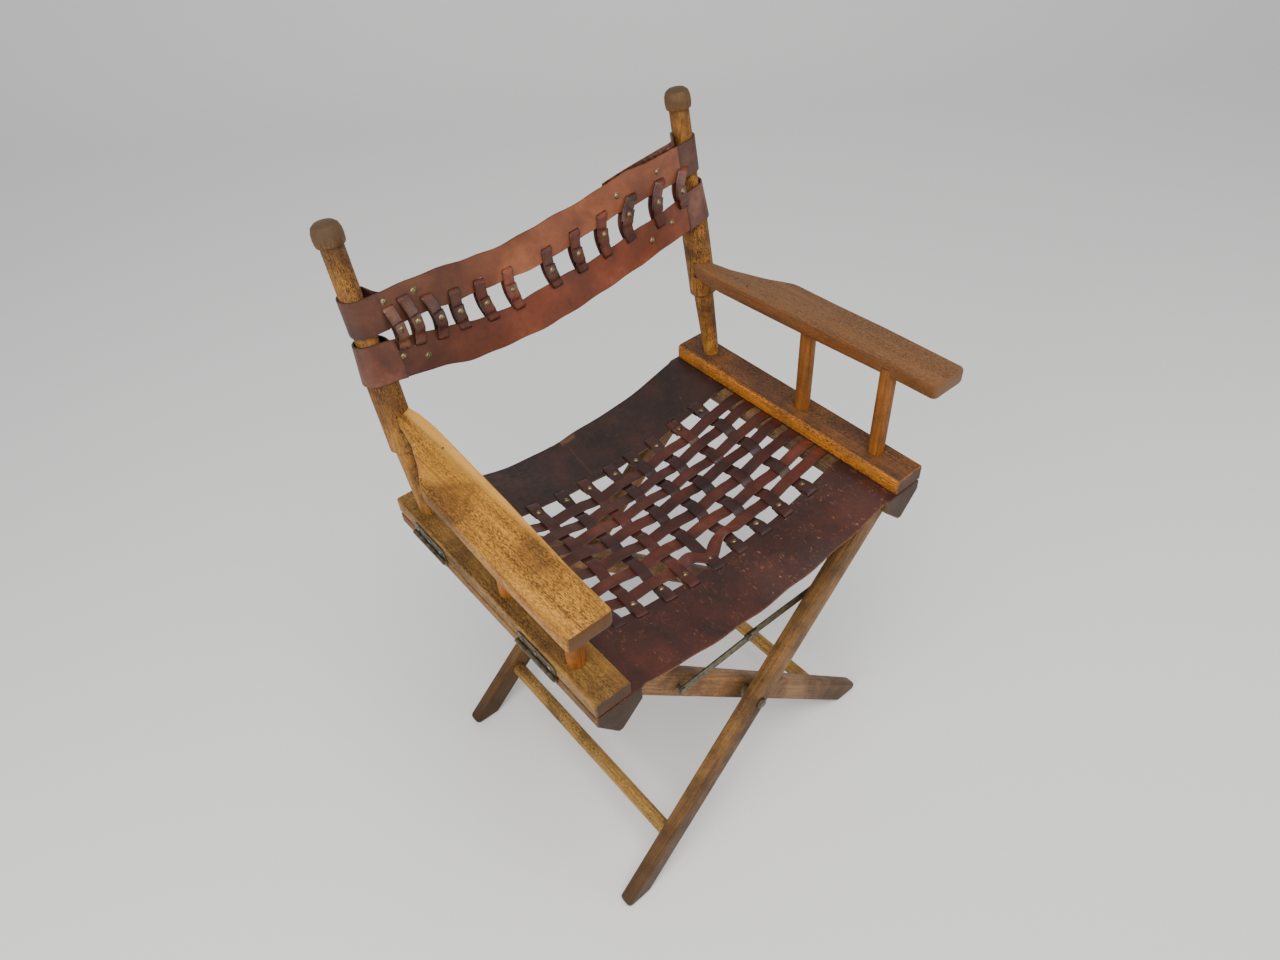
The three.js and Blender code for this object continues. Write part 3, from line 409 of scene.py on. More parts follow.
def turned(profile, place, axis, sides):
    """A closed turned form: profile is (radius, height) from its foot on the axis to its top on it."""
    frame_of = Vector((0, 0, 1)).rotation_difference(Vector(axis)).to_matrix()
    rings = profile[1:-1]
    points = [Vector((0, 0, profile[0][1]))]
    for radius, height in rings:
        points += [
            Vector((radius * cos(a), radius * sin(a), height))
            for a in (2 * pi * i / sides for i in range(sides))
        ]
    points.append(Vector((0, 0, profile[-1][1])))
    faces = [(0, 1 + (i + 1) % sides, 1 + i) for i in range(sides)]
    faces += [face[::-1] for face in ring_faces(len(rings), sides, 1)]
    last, top = 1 + (len(rings) - 1) * sides, len(points) - 1
    faces += [(last + i, last + (i + 1) % sides, top) for i in range(sides)]
    return [frame_of @ p + Vector(place) for p in points], faces, [0.0] * len(points)


def slotted_screw(place, axis, turn, radius=0.0029, height=0.0011, slot=0.0005):
    """A countersunk head with a slot: two half heads on a thin disc."""
    parts = [turned([(0, -0.0004), (radius, -0.0004), (radius, 0.0002), (0, 0.0002)], place, axis, 16)]
    frame_of = Vector((0, 0, 1)).rotation_difference(Vector(axis)).to_matrix()
    spin = Matrix.Rotation(turn, 3, "Z")
    first = asin(slot / radius)
    for side in (1, -1):
        arc = [first + (pi - 2 * first) * i / 9 for i in range(10)]
        outline = [(radius * cos(a), side * radius * sin(a)) for a in arc]
        crown = [(0.86 * x, side * (slot + (side * y - slot) * 0.86)) for x, y in outline]
        points = [Vector((x, y, 0.0001)) for x, y in outline]
        points += [Vector((x, y, height * 0.6)) for x, y in outline]
        points += [Vector((x, y, height)) for x, y in crown]
        count = len(outline)
        faces = [tuple(range(count)), tuple(range(3 * count - 1, 2 * count - 1, -1))]
        faces += ring_faces(3, count)
        if side > 0:
            faces = [face[::-1] for face in faces]
        parts.append(([frame_of @ (spin @ p) + Vector(place) for p in points], faces, [0.0] * len(points)))
    return parts


random.seed(11)
screw_steel = old_metal("screw_steel", ((176, 168, 150), (104, 98, 86), (80, 62, 42)), 0.32)
leaf_face, under_top, over_foot = 0.2589, 0.0075, 0.0035
for side, sign, legs in (("left", -1, "inner_frame"), ("right", 1, "outer_frame")):
    for level, body in (("upper", f"arm_{side}"), ("lower", legs)):
        heads = []
        for end in ("front", "rear"):
            low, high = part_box(f"{side}_{end}_{level}_leaf")
            height = high.z - under_top if level == "upper" else low.z + over_foot
            for share in (0.14, 0.5, 0.86):
                spot = (sign * leaf_face, low.y + (high.y - low.y) * share, height)
                heads += slotted_screw(spot, (sign, 0, 0), random.uniform(0, pi))
        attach(shell(f"{side}_{level}_screws", heads, screw_steel, 30), body)
nail_steel = old_metal("nail_steel", ((70, 56, 44), (38, 30, 24), (52, 34, 22)), 0.6)
middle_y = (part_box("right_lower_rail")[0].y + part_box("right_lower_rail")[1].y) / 2
arm_top, rail_face, rail_nail_up = 0.646, 0.257, 0.493
nail = [(0, -0.0004), (0.0013, -0.0004), (0.0013, 0.00015), (0, 0.0003)]
for side, sign in (("left", -1), ("right", 1)):
    heads = [turned(nail, (sign * 0.229, middle_y + 0.082, arm_top), upright, 10)]
    for y in (middle_y - 0.143, middle_y - 0.019):
        heads.append(turned(nail, (sign * rail_face, y, rail_nail_up), (sign, 0, 0), 10))
    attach(shell(f"{side}_nails", heads, nail_steel, 30), f"arm_{side}")

# Seat bands: two broad strips of thick saddle leather, clamped between the rails. The front one is
# scuffed by legs, the rear one torn at its back edge, and each has a row of slots for the straps.
thick = 0.0024
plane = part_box("right_upper_rail")[0].z - 0.0015
rail_inner, clamp_end, sag, clamped = 0.197, 0.252, 0.031, 0.010


def hide(name, tones, scuff, mottle, gloss, grain=1.0, shift=None):
    """Vegetable-tanned leather in four tones: its own, a dark and a pale one that mottle it, and the raw
    one of its worn cut edges, near black on the back leather and the loops, where the flaps' backs and the
    loops' edges are partly painted shade. A shift turns it to another colour along one axis, from one
    place to another, by a share."""
    made, tree, skin = blank_material(name)
    base, dark, pale, raw = (shade(*tone) for tone in tones)
    place = put(tree, "ShaderNodeTexCoord").outputs["Object"]
    broad = noise(tree, place, 16, 5, 0.6, 0.5)
    small = noise(tree, place, 120, 4, 0.6)
    body = stops(tree, broad, (0.34, dark), (0.55, base), (0.78, pale))
    body = mixed(tree, times(tree, stops(tree, small, (0.4, 0.0), (0.75, 1.0)), mottle), body, dark)
    if shift:
        axis, start, end, colour, share = shift
        turning = ranged(tree, measure(tree, place, axis), start, end, 0.0, share)
        turning = times(tree, turning, stops(tree, broad, (0.3, 1.0), (0.7, 0.75)))
        body = mixed(tree, turning, body, shade(*colour))
    if scuff:
        rubbing = noise(tree, place, 42, 6, 0.72, 1.5)
        rubbed = stops(tree, rubbing, (0.56, 0.0), (0.68, 1.0))
        body = mixed(tree, times(tree, rubbed, scuff * 0.5), body, pale)
        slant = {"Vector": place, "Scale": (1, 0.22, 1), "Rotation": (0, 0, 0.7)}
        scratches = noise(tree, put(tree, "ShaderNodeMapping", slant).outputs["Vector"], 430, 3, 0.6, 2.0)
        marks = stops(tree, scratches, (0.61, 0.0), (0.67, 1.0))
        marks = times(tree, marks, stops(tree, rubbing, (0.46, 0.0), (0.6, 1.0)))
        body = mixed(tree, times(tree, marks, scuff), body, raw)
    # The fourth tone covers worn cut edges. On the back leather's flaps and the loops' edges it is partly
    # painted shade.
    worn = put(tree, "ShaderNodeAttribute", attribute_name="wear").outputs["Fac"]
    uneven = stops(tree, noise(tree, place, 210, 3, 0.6), (0.35, 0.35), (0.6, 1.0))
    body = mixed(tree, times(tree, worn, uneven), body, raw)
    skin.inputs["Specular IOR Level"].default_value = 0.42
    cells = put(tree, "ShaderNodeTexVoronoi", {"Vector": place, "Scale": 1100}, feature="DISTANCE_TO_EDGE")
    cells = stops(tree, cells.outputs["Distance"], (0.0, 0.0), (0.25, 1.0))
    fine = put(tree, "ShaderNodeBump", {"Height": cells, "Strength": 0.22 * grain, "Distance": 0.0002})
    soft = put(tree, "ShaderNodeBump", {
        "Height": small, "Strength": 0.35, "Distance": 0.0009, "Normal": fine.outputs["Normal"],
    })
    dress(tree, skin, body, ranged(tree, small, 0.3, 0.7, gloss - 0.07, gloss + 0.14), soft)
    return made


def sheet_part(across, deep, place, holes=(), tone=None, reach=0.0004, shaded_back_from=inf):
    """A sheet of leather of real thickness over a grid, with holes left out and its cut edges rounded.
    Slopes across are taken over reach. Outer edges are worn and slots a little, tone gives the wear of
    the upper face, and past a given step across both faces are painted dark, for the leather's dark back
    and as painted shade behind the post."""
    rows, columns, lip, step = len(deep), len(across), 0.0006, 0.0004

    def spot(i, j):
        u, v = across[i], deep[j]
        along = place(u + reach, v) - place(u - reach, v)
        over = place(u, v + step) - place(u, v - step)
        return place(u, v), along.normalized(), over.normalized(), along.cross(over).normalized()

    def solid_cell(i, j):
        if not (0 <= i < columns - 1 and 0 <= j < rows - 1):
            return False
        u, v = (across[i] + across[i + 1]) / 2, (deep[j] + deep[j + 1]) / 2
        return not any(a < u < b and c < v < d for a, b, c, d in holes)

    cells = [(i, j) for i in range(columns - 1) for j in range(rows - 1) if solid_cell(i, j)]
    used = sorted({(i + a, j + b) for i, j in cells for a in (0, 1) for b in (0, 1)})
    points, wear, faces, top, low, rim = [], [], [], {}, {}, {}
    for i, j in used:
        middle, along, over, normal = spot(i, j)
        inward = Vector((0, 0, 0))
        around = [(a, b) for a in (0, 1) for b in (0, 1) if solid_cell(i - a, j - b)]
        for a, b in around:
            inward += along * (1 if a == 0 else -1) + over * (1 if b == 0 else -1)
        at_edge, outside = len(around) < 4, i in (0, columns - 1) or j in (0, rows - 1)
        pull = inward.normalized() * lip if at_edge and inward.length > 0.1 else Vector((0, 0, 0))
        # Past the given step the leather is painted dark: its dark back, and painted shade behind the post.
        worn = 1.0 if across[i] > shaded_back_from else 0.5 if outside else 0.1 if at_edge else 0.0
        for store, side in ((top, 1), (low, -1)):
            store[i, j] = len(points)
            points.append(middle + pull + normal * thick * 0.5 * side)
            wear.append(max(worn, tone(across[i], deep[j])) if tone and side > 0 else worn)
        if at_edge:
            rim[i, j] = len(points)
            points.append(middle)
            wear.append(1.0 if outside else 0.2)
    for i, j in cells:
        ring = [(i, j), (i + 1, j), (i + 1, j + 1), (i, j + 1)]
        faces.append(tuple(top[c] for c in ring))
        faces.append(tuple(low[c] for c in reversed(ring)))
        for here, there, (a, b) in zip(ring, ring[1:] + ring[:1], ((0, -1), (1, 0), (0, 1), (-1, 0))):
            if not solid_cell(i + a, j + b):
                faces.append((top[there], top[here], rim[here], rim[there]))
                faces.append((rim[there], rim[here], low[here], low[there]))
    return points, faces, wear


def area_of(part):
    """The area of one side of a sheet, from its quads."""
    points, faces, _ = part
    total = sum(
        ((points[f[1]] - points[f[0]]).cross(points[f[2]] - points[f[0]])).length / 2
        + ((points[f[2]] - points[f[0]]).cross(points[f[3]] - points[f[0]])).length / 2
        for f in faces
    )
    return total / 2


def evenly(start, end, count):
    return [start + (end - start) * i / count for i in range(count + 1)]


def with_lines(lines, extra, apart=0.0018):
    """Grid lines with extra ones added, and those that lie too near an extra one left out."""
    return sorted(extra + [line for line in lines if all(abs(line - other) > apart for other in extra)])


def hollow(x, y):
    """Height of the seat leather: it hangs between the rails, a little deeper in front."""
    share = min(1.0, abs(x) / rail_inner)
    return plane - (sag - 0.010 * (y - middle_y)) * (1 - share * share)


# Where each lengthwise strap leaves the front band, lies in the middle and meets the rear band
long_courses = [
    (-0.161, -0.1585, -0.156), (-0.1285, -0.1235, -0.1215), (-0.0855, -0.0825, -0.0785),
    (-0.048, -0.0445, -0.041), (-0.007, -0.0045, 0.002), (0.032, 0.0365, 0.0385),
    (0.072, 0.0725, 0.0765), (0.111, 0.115, 0.117), (0.153, 0.157, 0.159),
]
front_edge, front_free = middle_y - 0.199, middle_y - 0.108
rear_free, rear_edge = middle_y + 0.101, middle_y + 0.200
front_slot, rear_slot = front_free - 0.011, rear_free + 0.011
strap_wide = 0.017


def through_three(course, t):
    """A gentle curve through three places, at t = -1, 0 and 1."""
    first, middle, last = course
    return middle + (last - first) / 2 * t + ((last + first) / 2 - middle) * t * t


def long_line(j, y):
    t = 2 * (y - front_free) / (rear_free - front_free) - 1
    return through_three(long_courses[j], t) + 0.0010 * sin(30 * y + 1.7 * j) * max(0.0, 1 - t * t)


front_places = [long_line(j, front_slot) for j in range(len(long_courses))]
rear_places = [long_line(j, rear_slot) for j in range(len(long_courses))]


def bump_at(x, centre, width):
    return exp(-(((x - centre) / width) ** 2))


def crease(x, y):
    """How far a spot lies from the crease that runs forwards from the rear band's torn patch."""
    return x + 0.0085 + 0.15 * (rear_edge - y)


def band_surface(outer, free, pull, torn):
    """The middle of a band's thickness over the plan, wavy where it hangs free of the rails."""
    def place(x, y):
        share = min(1.0, abs(x) / rail_inner)
        slack = 1 - share ** 4
        toward = max(0.0, (y - free) / (outer - free))
        low = 0.0011 * sin(31 * x + 40 * y) + 0.0007 * sin(83 * x - 25 * y)
        if torn:
            ends = min(1, 6 * toward) * min(1, 6 * (1 - toward))
            low += 0.0009 * bump_at(crease(x, y), 0, 0.0012) * ends
            past = 1 / (1 + exp(-(x + 0.027) / 0.0006))
            low -= 0.0016 * (1 - past) * toward ** 4
            y -= 0.0022 * past * bump_at(x, -0.02, 0.03) * toward ** 6
        else:
            low -= 0.0035 * toward ** 3
        reach = y - copysign(pull * (1 - share * share) * toward ** 2, outer - free)
        reach += 0.0012 * sin(57 * x) * sin(23 * x + 1) * slack * toward
        if abs(x) > rail_inner and y == outer:
            reach += copysign(0.0018, outer - free)
        return Vector((x, reach, hollow(x, y) + low * slack))
    return place


def front_wear(x, y):
    """Legs rub the front edge raw, most in its middle."""
    return (0.3 if y < front_edge + 0.003 else 0.0) * (0.4 + 0.6 * bump_at(x, 0.03, 0.15))


def rear_wear(x, y):
    """The rear edge is torn left of its middle, with a raw patch and a crease."""
    if y > rear_edge - 0.011 and -0.016 < x < 0.010:
        return 0.9
    return 0.2 if abs(crease(x, y)) < 0.0009 and rear_edge - 0.085 < y < rear_edge - 0.018 else 0.0


slot_wide, slot_high = 0.0164, 0.0022


def slot_hole(x, y, wide):
    """A slot's left and right end, then its lower and upper side."""
    return x - wide / 2, x + wide / 2, y - slot_high / 2, y + slot_high / 2


def seat_band(name, outer, free, slot, places, pull, torn, paint):
    holes = [slot_hole(x, slot, slot_wide) for x in places]
    across = with_lines(evenly(-clamp_end, clamp_end, 84), [end for hole in holes for end in hole[:2]])
    if torn:
        across = with_lines(across, evenly(-0.0305, -0.0235, 7) + evenly(-0.0215, -0.0065, 15))
    lines = evenly(min(outer, free), max(outer, free), 14)
    rims = [lines[0] + d for d in (0, 0.0012, 0.003)] + [lines[-1] - d for d in (0.010, 0.003, 0.0012, 0)]
    deep = with_lines(lines, rims + list(holes[0][2:]))
    surface, tone = band_surface(outer, free, pull, torn), rear_wear if torn else front_wear
    points, faces, wear = sheet_part(across, deep, surface, holes, tone)
    part = points, faces, [0.4 * worn if abs(p.x) < rail_inner else 0.0 for p, worn in zip(points, wear)]
    made = shell(name, [part], paint, 50)
    area_of(part)
    return made


front_hide = hide("front_band_leather", ((66, 32, 24), (42, 22, 18), (82, 40, 28), (166, 112, 70)),
                  0.9, 0.35, 0.44, 1.0, (1, front_edge + 0.03, front_free, (42, 22, 18), 0.8))
rear_hide = hide("rear_band_leather", ((46, 23, 17), (29, 16, 13), (66, 34, 24), (142, 100, 66)),
                 0.3, 0.4, 0.5)
front_band = seat_band("seat_front", front_edge, front_free, front_slot, front_places,
                       0.005, False, front_hide)
rear_band = seat_band("seat_rear", rear_edge, rear_free, rear_slot, rear_places, 0.001, True, rear_hide)
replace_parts(front_band, "seat_front_band")
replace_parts(rear_band, "seat_rear_band")


def across_seat(piece):
    """Bakes a seat piece's placement into its mesh."""
    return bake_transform(piece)


across_seat(front_band)
across_seat(rear_band)

# Woven straps: seven run from rail to rail and nine from band to band, over and under each other.
# Each long one turns down through a slot in the band and is riveted to its own tail.
weave_lift, flat_run, weave_end, course_reach, end_run = 0.00155, 0.0092, 0.03, 0.2, 0.010
cross_count, long_count = 7, 9
cross_courses = [
    (-0.088, -0.084, -0.0815), (-0.0595, -0.055, -0.058), (-0.030, -0.027, -0.0305), (0.002, 0.001, -0.001),
    (0.0208, 0.024, 0.021), (0.044, 0.049, 0.0515), (0.0705, 0.0735, 0.074),
]


def eased(t):
    """From 0 to 1 with a soft start and a soft end."""
    t = min(1.0, max(0.0, t))
    return t * t * (3 - 2 * t)


def cross_line(i, x):
    """The plan line of a cross strap, and how far it arches above the weave. The front one is slack."""
    y = middle_y + through_three(cross_courses[i], x / course_reach)
    y += 0.0010 * sin(19 * x + 2.1 * i) * (1 - (x / rail_inner) ** 4)
    arch = 0.0
    if i == 0:
        y -= 0.014 * bump_at(x, -0.006, 0.017)
        arch = 0.0075 * bump_at(x, -0.029, 0.012) + 0.0080 * bump_at(x, 0.030, 0.017)
    return y, arch


crossings = {}
for i in range(cross_count):
    for j in range(long_count):
        y = middle_y + cross_courses[i][1]
        for _ in range(4):
            y = cross_line(i, long_line(j, y))[0]
        crossings[i, j] = (long_line(j, y), y)


def weave_height(at, spots, signs, start, end):
    """Height of a strap's middle above the hollow: flat over each strap it crosses, eased in between."""
    marks = [(spot, sign * weave_lift, flat_run) for spot, sign in zip(spots, signs)]
    marks = [(start, 0.0, 0.0)] + marks + [(end, 0.0, 0.0)]
    for (a, height_a, flat_a), (b, height_b, flat_b) in zip(marks, marks[1:]):
        if at <= b:
            low, high = a + flat_a, b - flat_b
            if high <= low:
                return height_a if at < (a + b) / 2 else height_b
            return height_a + (height_b - height_a) * eased((at - low) / (high - low))
    return 0.0


def ribbon(path, sides, wide):
    """A strap along a path: sides are the directions across it, one for each place on the path."""
    span, half, crown, nick = wide / 2, thick / 2, 0.00015, 0.0009
    section = [
        (-span + nick, half, 0.35), (-span * 0.45, half + crown, 0.0), (span * 0.45, half + crown, 0.0),
        (span - nick, half, 0.35), (span, half * 0.3, 1.0), (span, -half * 0.3, 1.0),
        (span - nick, -half, 0.35), (0.0, -half, 0.0), (-span + nick, -half, 0.35),
        (-span, -half * 0.3, 1.0), (-span, half * 0.3, 1.0),
    ]
    count, size = len(path), len(section)
    points, wear, faces = [], [], ring_faces(count, size)
    for k in range(count):
        along = (path[min(count - 1, k + 1)] - path[max(0, k - 1)]).normalized()
        side = (sides[k] - along * sides[k].dot(along)).normalized()
        normal = side.cross(along).normalized()
        points += [path[k] + side * s + normal * n for s, n, _ in section]
        wear += [1.0 if k in (0, count - 1) else w for _, _, w in section]
    faces += [tuple(range(size)), tuple(range(count * size - 1, (count - 1) * size - 1, -1))]
    return points, faces, wear


def cross_strap(i):
    """A strap from rail to rail, with a random small tip at nine places along it."""
    spots = [crossings[i, j][0] for j in range(long_count)]
    signs = [1 if (i + j) % 2 == 0 else -1 for j in range(long_count)]
    path = []
    for x in evenly(-clamp_end, clamp_end, 168):
        y, arch = cross_line(i, x)
        height = weave_height(x, spots, signs, spots[0] - weave_end, spots[-1] + weave_end)
        path.append(Vector((x, y, hollow(x, y) + height + arch)))
    random.seed(40 + i)
    tips = [random.uniform(-0.1, 0.1) for _ in range(9)]
    sides = []
    for k, spot in enumerate(path):
        place = k / (len(path) - 1) * 8
        low = min(7, int(place))
        tip = tips[low] * (1 - place + low) + tips[low + 1] * (place - low)
        tip *= max(0.0, 1 - abs(spot.x / rail_inner) ** 3)
        if i == 0:
            tip += 0.12 * bump_at(spot.x, -0.029, 0.014) - 0.40 * bump_at(spot.x, 0.030, 0.016)
        sides.append(Vector((0, 1, tip)))
    return ribbon(path, sides, strap_wide)


def strap_end(slot, turn):
    """Tail under the band, turn up through the slot and the first stretch over the tail, as (y, height)."""
    gap, loop = 0.0027, 0.0032
    under = [(slot + turn * d, 0.0013 - gap) for d in (0.0235, 0.021, 0.018)]
    under += [(slot + turn * d, -gap) for d in (0.0150, 0.010, 0.005, loop)]
    angles = [radians(-60 + 24 * k) for k in range(6)]
    bend = [(slot + turn * (loop - 0.0030 * cos(a)), gap * sin(a)) for a in angles]
    over = [(0.0034, gap), (0.007, gap), (0.011, gap), (0.0145, gap), (0.0165, 0.0021), (0.0185, 0.0014)]
    return under + bend + [(slot + turn * d, height) for d, height in over]


def long_strap(j):
    """Tail, turn through the front slot, weave, turn through the rear slot, tail."""
    spots = [crossings[i, j][1] for i in range(cross_count)]
    signs = [1 if (i + j) % 2 == 1 else -1 for i in range(cross_count)]
    front, rear = strap_end(front_slot, 1), strap_end(rear_slot, -1)
    (start, first), (stop, last) = front[-1], rear[-1]
    line = list(front)
    for y in evenly(start, stop, 76)[1:-1]:
        near = max(0.0, 1 - (y - start) / end_run)
        far = max(0.0, 1 - (stop - y) / end_run)
        height = weave_height(y, spots, signs, start, stop) * (1 - near) * (1 - far)
        line.append((y, height + first * near + last * far))
    path = []
    for y, height in line + rear[::-1]:
        x = long_line(j, min(max(y, front_slot), rear_slot))
        path.append(Vector((x, y, hollow(x, y) + height)))
    slope = (rear_places[j] - front_places[j]) / (rear_slot - front_slot)
    side = Vector((1, -slope, 2 * sag * long_courses[j][1] / rail_inner ** 2))
    return ribbon(path, [side for _ in path], strap_wide * 0.98)


strap_tones = {
    "deep": ((76, 35, 25), (44, 22, 17), (112, 56, 36), (50, 27, 20)),
    "red": ((86, 40, 27), (50, 25, 19), (122, 64, 42), (52, 28, 20)),
    "dark": ((56, 30, 25), (33, 19, 17), (80, 44, 32), (42, 25, 20)),
}
strap_hides = {n: hide(f"{n}_strap_leather", tones, 0.0, 0.45, 0.36, 0.7) for n, tones in strap_tones.items()}
cross_tones = ["red", "red", "deep", "deep", "red", "deep", "deep"]
long_tones = ["dark", "deep", "dark", "deep", "dark", "dark", "dark", "deep", "dark"]
for kind, form, tones in (("cross", cross_strap, cross_tones), ("long", long_strap, long_tones)):
    for k, tone in enumerate(tones):
        strap = shell(f"{kind}_strap_{k + 1}", [form(k)], strap_hides[tone], 30)
        across_seat(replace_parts(strap, f"seat_{kind}_strap_{k + 1}"))

# Seat rivets: domed antique brass, one through each strap and its tail, just off the band's edge, with
# a small burr plate on the far side of the leather.
antique_brass = old_metal("antique_brass", ((164, 148, 108), (96, 84, 60), (66, 54, 38)), 0.3)


def rivet(place, axis, radius):
    """A dome on a thin rim."""
    rise = radius * 0.52
    dome = [(0, -0.0006), (radius, -0.0006), (radius, 0.0003)]
    for angle in (radians(18 * k) for k in range(5)):
        dome.append((radius * 0.86 * cos(angle), 0.0004 + rise * sin(angle)))
    return turned(dome + [(0, 0.0004 + rise)], place, axis, 18)


def burr(place, axis, radius, deep, crown):
    return turned([(0, -deep), (radius, -deep), (radius, 0.0), (0, crown)], place, axis, 14)


studs, strap_middle, rivet_in = [], 0.0014, 0.0190
for j in range(long_count):
    for slot, turn in ((front_slot, 1), (rear_slot, -1)):
        y = slot + turn * rivet_in
        x = long_line(j, y)
        top, foot = (Vector((x, y, hollow(x, y) + s * (strap_middle + thick / 2))) for s in (1, -1))
        studs += [rivet(top, (-0.1 * turn, 0.0, 1.0), 0.0040), burr(foot, (0, 0, -1), 0.0032, 0.0010, 0.0004)]
across_seat(shell("seat_rivets", studs, antique_brass, 40))

# Back bands: two strips of red-brown leather that hang between the posts. Each goes round a post and
# comes back behind itself as a flap, held by two rivets. The lower one opens out over the post's swell.
lean = 0.1815
foot_y, foot_z, post_x = middle_y + 0.155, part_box("right_upper_rail")[1].z, 0.236


def leaning(x, y, z):
    """A point given square to the posts and along them, put in the chair."""
    back, up = y * cos(lean) + z * sin(lean), z * cos(lean) - y * sin(lean)
    return Vector((x, foot_y + back, foot_z + up))


def curve_through(values, x):
    """A smooth curve through values at equal steps from the left post to the right one."""
    place = min(1.0, max(0.0, (x / post_x + 1) / 2)) * (len(values) - 1)
    k = min(len(values) - 2, int(place))
    t = place - k
    a, b, c, d = (values[min(len(values) - 1, max(0, k + s))] for s in (-1, 0, 1, 2))
    v0, v1 = (c - a) / 2, (d - b) / 2
    return (2 * b - 2 * c + v0 + v1) * t ** 3 + (-3 * b + 3 * c - 2 * v0 - v1) * t ** 2 + v0 * t + b


# Where each band meets the posts, how it drops and bows between them, how tight it turns round a post
# at its lower and its upper edge, and how long its flaps are and how they rise and settle behind it
bands = {
    "upper": {
        "high": 0.043, "ends": (0.2587, 0.282), "drop": 0.019, "bow": 0.012,
        "shares": [0, 0.15, 0.5, 0.93, 0.9, 0.55, 0.15, 0.02, 0], "wrap": (0.01435, 0.01435), "turn": 0.01425,
        "side": 1, "flaps": (0.070, 0.138), "rise": (0.007, 0.009), "settle": ((0.35, -0.005), (1.0, 0.0)),
    },
    "lower": {
        "high": 0.047, "ends": (0.2064, 0.221), "drop": 0.036, "bow": 0.014,
        "shares": [0, 0.35, 0.78, 1, 0.93, 0.8, 0.58, 0.25, 0], "wrap": (0.0199, 0.0160), "turn": 0.01975,
        "side": -1, "flaps": (0.070, 0.070), "rise": (0.001, 0.011), "settle": ((1.0, 0.0), (1.0, 0.0)),
    },
}
span_half, flap_start, flap_gap, edge_cut = 0.2145, 0.033, 0.0031, 0.0012
turn_in, flap_narrows, hem = 0.165, 0.0155, 0.012
# Steps of wrap_path: where the leather starts to be painted dark, for its back and as painted shade
# behind the post, then where it leaves the post, is cut and ends
shaded_back_step, turn_end, wrap_end, flap_end = 19, 25, 28, 40


def band_middle(band, x):
    share = min(1.0, max(0.0, (x / post_x + 1) / 2))
    left, right = band["ends"]
    return left + (right - left) * share - band["drop"] * curve_through(band["shares"], x)


def band_front(band, x):
    return -band["turn"] + band["bow"] * curve_through(band["shares"], x)


def wrap_radius(band, v):
    low, high = band["wrap"]
    return low + (high - low) * min(1.0, max(0.0, v / band["high"] + 0.5))


def span_surface(band):
    """The middle of a band's thickness between the posts, wavy at its edges."""
    def place(x, v):
        near = eased((abs(x) - turn_in) / (post_x - turn_in))
        far, edge = 1 - near, 2 * v / band["high"]
        y = band_front(band, x) - near * (wrap_radius(band, v) - band["turn"])
        y += far * (0.0016 * sin(23 * x + 1.2) * edge + 0.0010 * sin(61 * x) * edge * edge)
        v += far * (0.0009 * sin(47 * x + 2 * edge) + 0.0006 * sin(118 * x + 5 * edge)) * abs(edge)
        return leaning(x, y, band_middle(band, x) + v)
    return place


def wrap_path(band, side, v, tail):
    """Seen along the post: front of the post, round its outer side and back, then the flap behind."""
    radius = wrap_radius(band, v)
    points = [Vector((post_x - 0.024 + 0.006 * k, -radius)) for k in range(4)]
    for angle in (radians(-90 + 12 * k) for k in range(21)):
        points.append(Vector((post_x + radius * cos(angle), radius * sin(angle))))
    start = points[-1]
    follow = [post_x - d for d in evenly(flap_start, tail, 10)]
    near = Vector((follow[0], band_front(band, side * follow[0]) + flap_gap))
    pull = (near - start).length * 0.45
    slope = radians(60)
    leaving = start - Vector((cos(slope), sin(slope))) * pull
    meeting = near + Vector((pull, 0))
    for t in (k / 6 for k in range(1, 6)):
        s = 1 - t
        points.append(start * s ** 3 + leaving * 3 * t * s * s + meeting * 3 * t * t * s + near * t ** 3)
    for k, x in enumerate(follow):
        loose = 0.0022 * (k / 10) ** 2
        points.append(Vector((x, band_front(band, side * x) + flap_gap + loose)))
    return points


def wrap_part(band, side, tail, first, last):
    """The leather from one step of wrap_path to another. It narrows and climbs as it becomes a flap."""
    half = band["high"] / 2
    deep = [-half, -half + edge_cut, -half * 0.6, -half * 0.2, half * 0.2, half * 0.6, half - edge_cut, half]

    def place(u, v):
        v = min(max(v, -half), half)
        u = min(max(u, 0.0), flap_end)
        k = min(flap_end - 1, int(u))
        path = wrap_path(band, side, v, tail)
        spot = path[k] * (1 - u + k) + path[k + 1] * (u - k)
        narrow = flap_narrows * eased((u - turn_end) / 6)
        low, high = (-half + narrow, half) if band["side"] > 0 else (-half, half - narrow)
        settled, end_rise = band["settle"][side > 0]
        fall = min(1.0, max(0.0, (u - turn_end) / (flap_end - turn_end)) / settled)
        held = low + (high - low) * (v + half) / (2 * half)
        held += band["rise"][side > 0] * eased(u / turn_end) * (1 - fall) + end_rise * fall
        return leaning(side * spot.x, spot.y, band_middle(band, side * spot.x) + held)

    steps = [float(k) for k in range(first, last + 1)]
    points, faces, wear = sheet_part(steps, deep, place, reach=0.5, shaded_back_from=shaded_back_step)
    return points, [face[::-1] for face in faces] if side < 0 else faces, wear


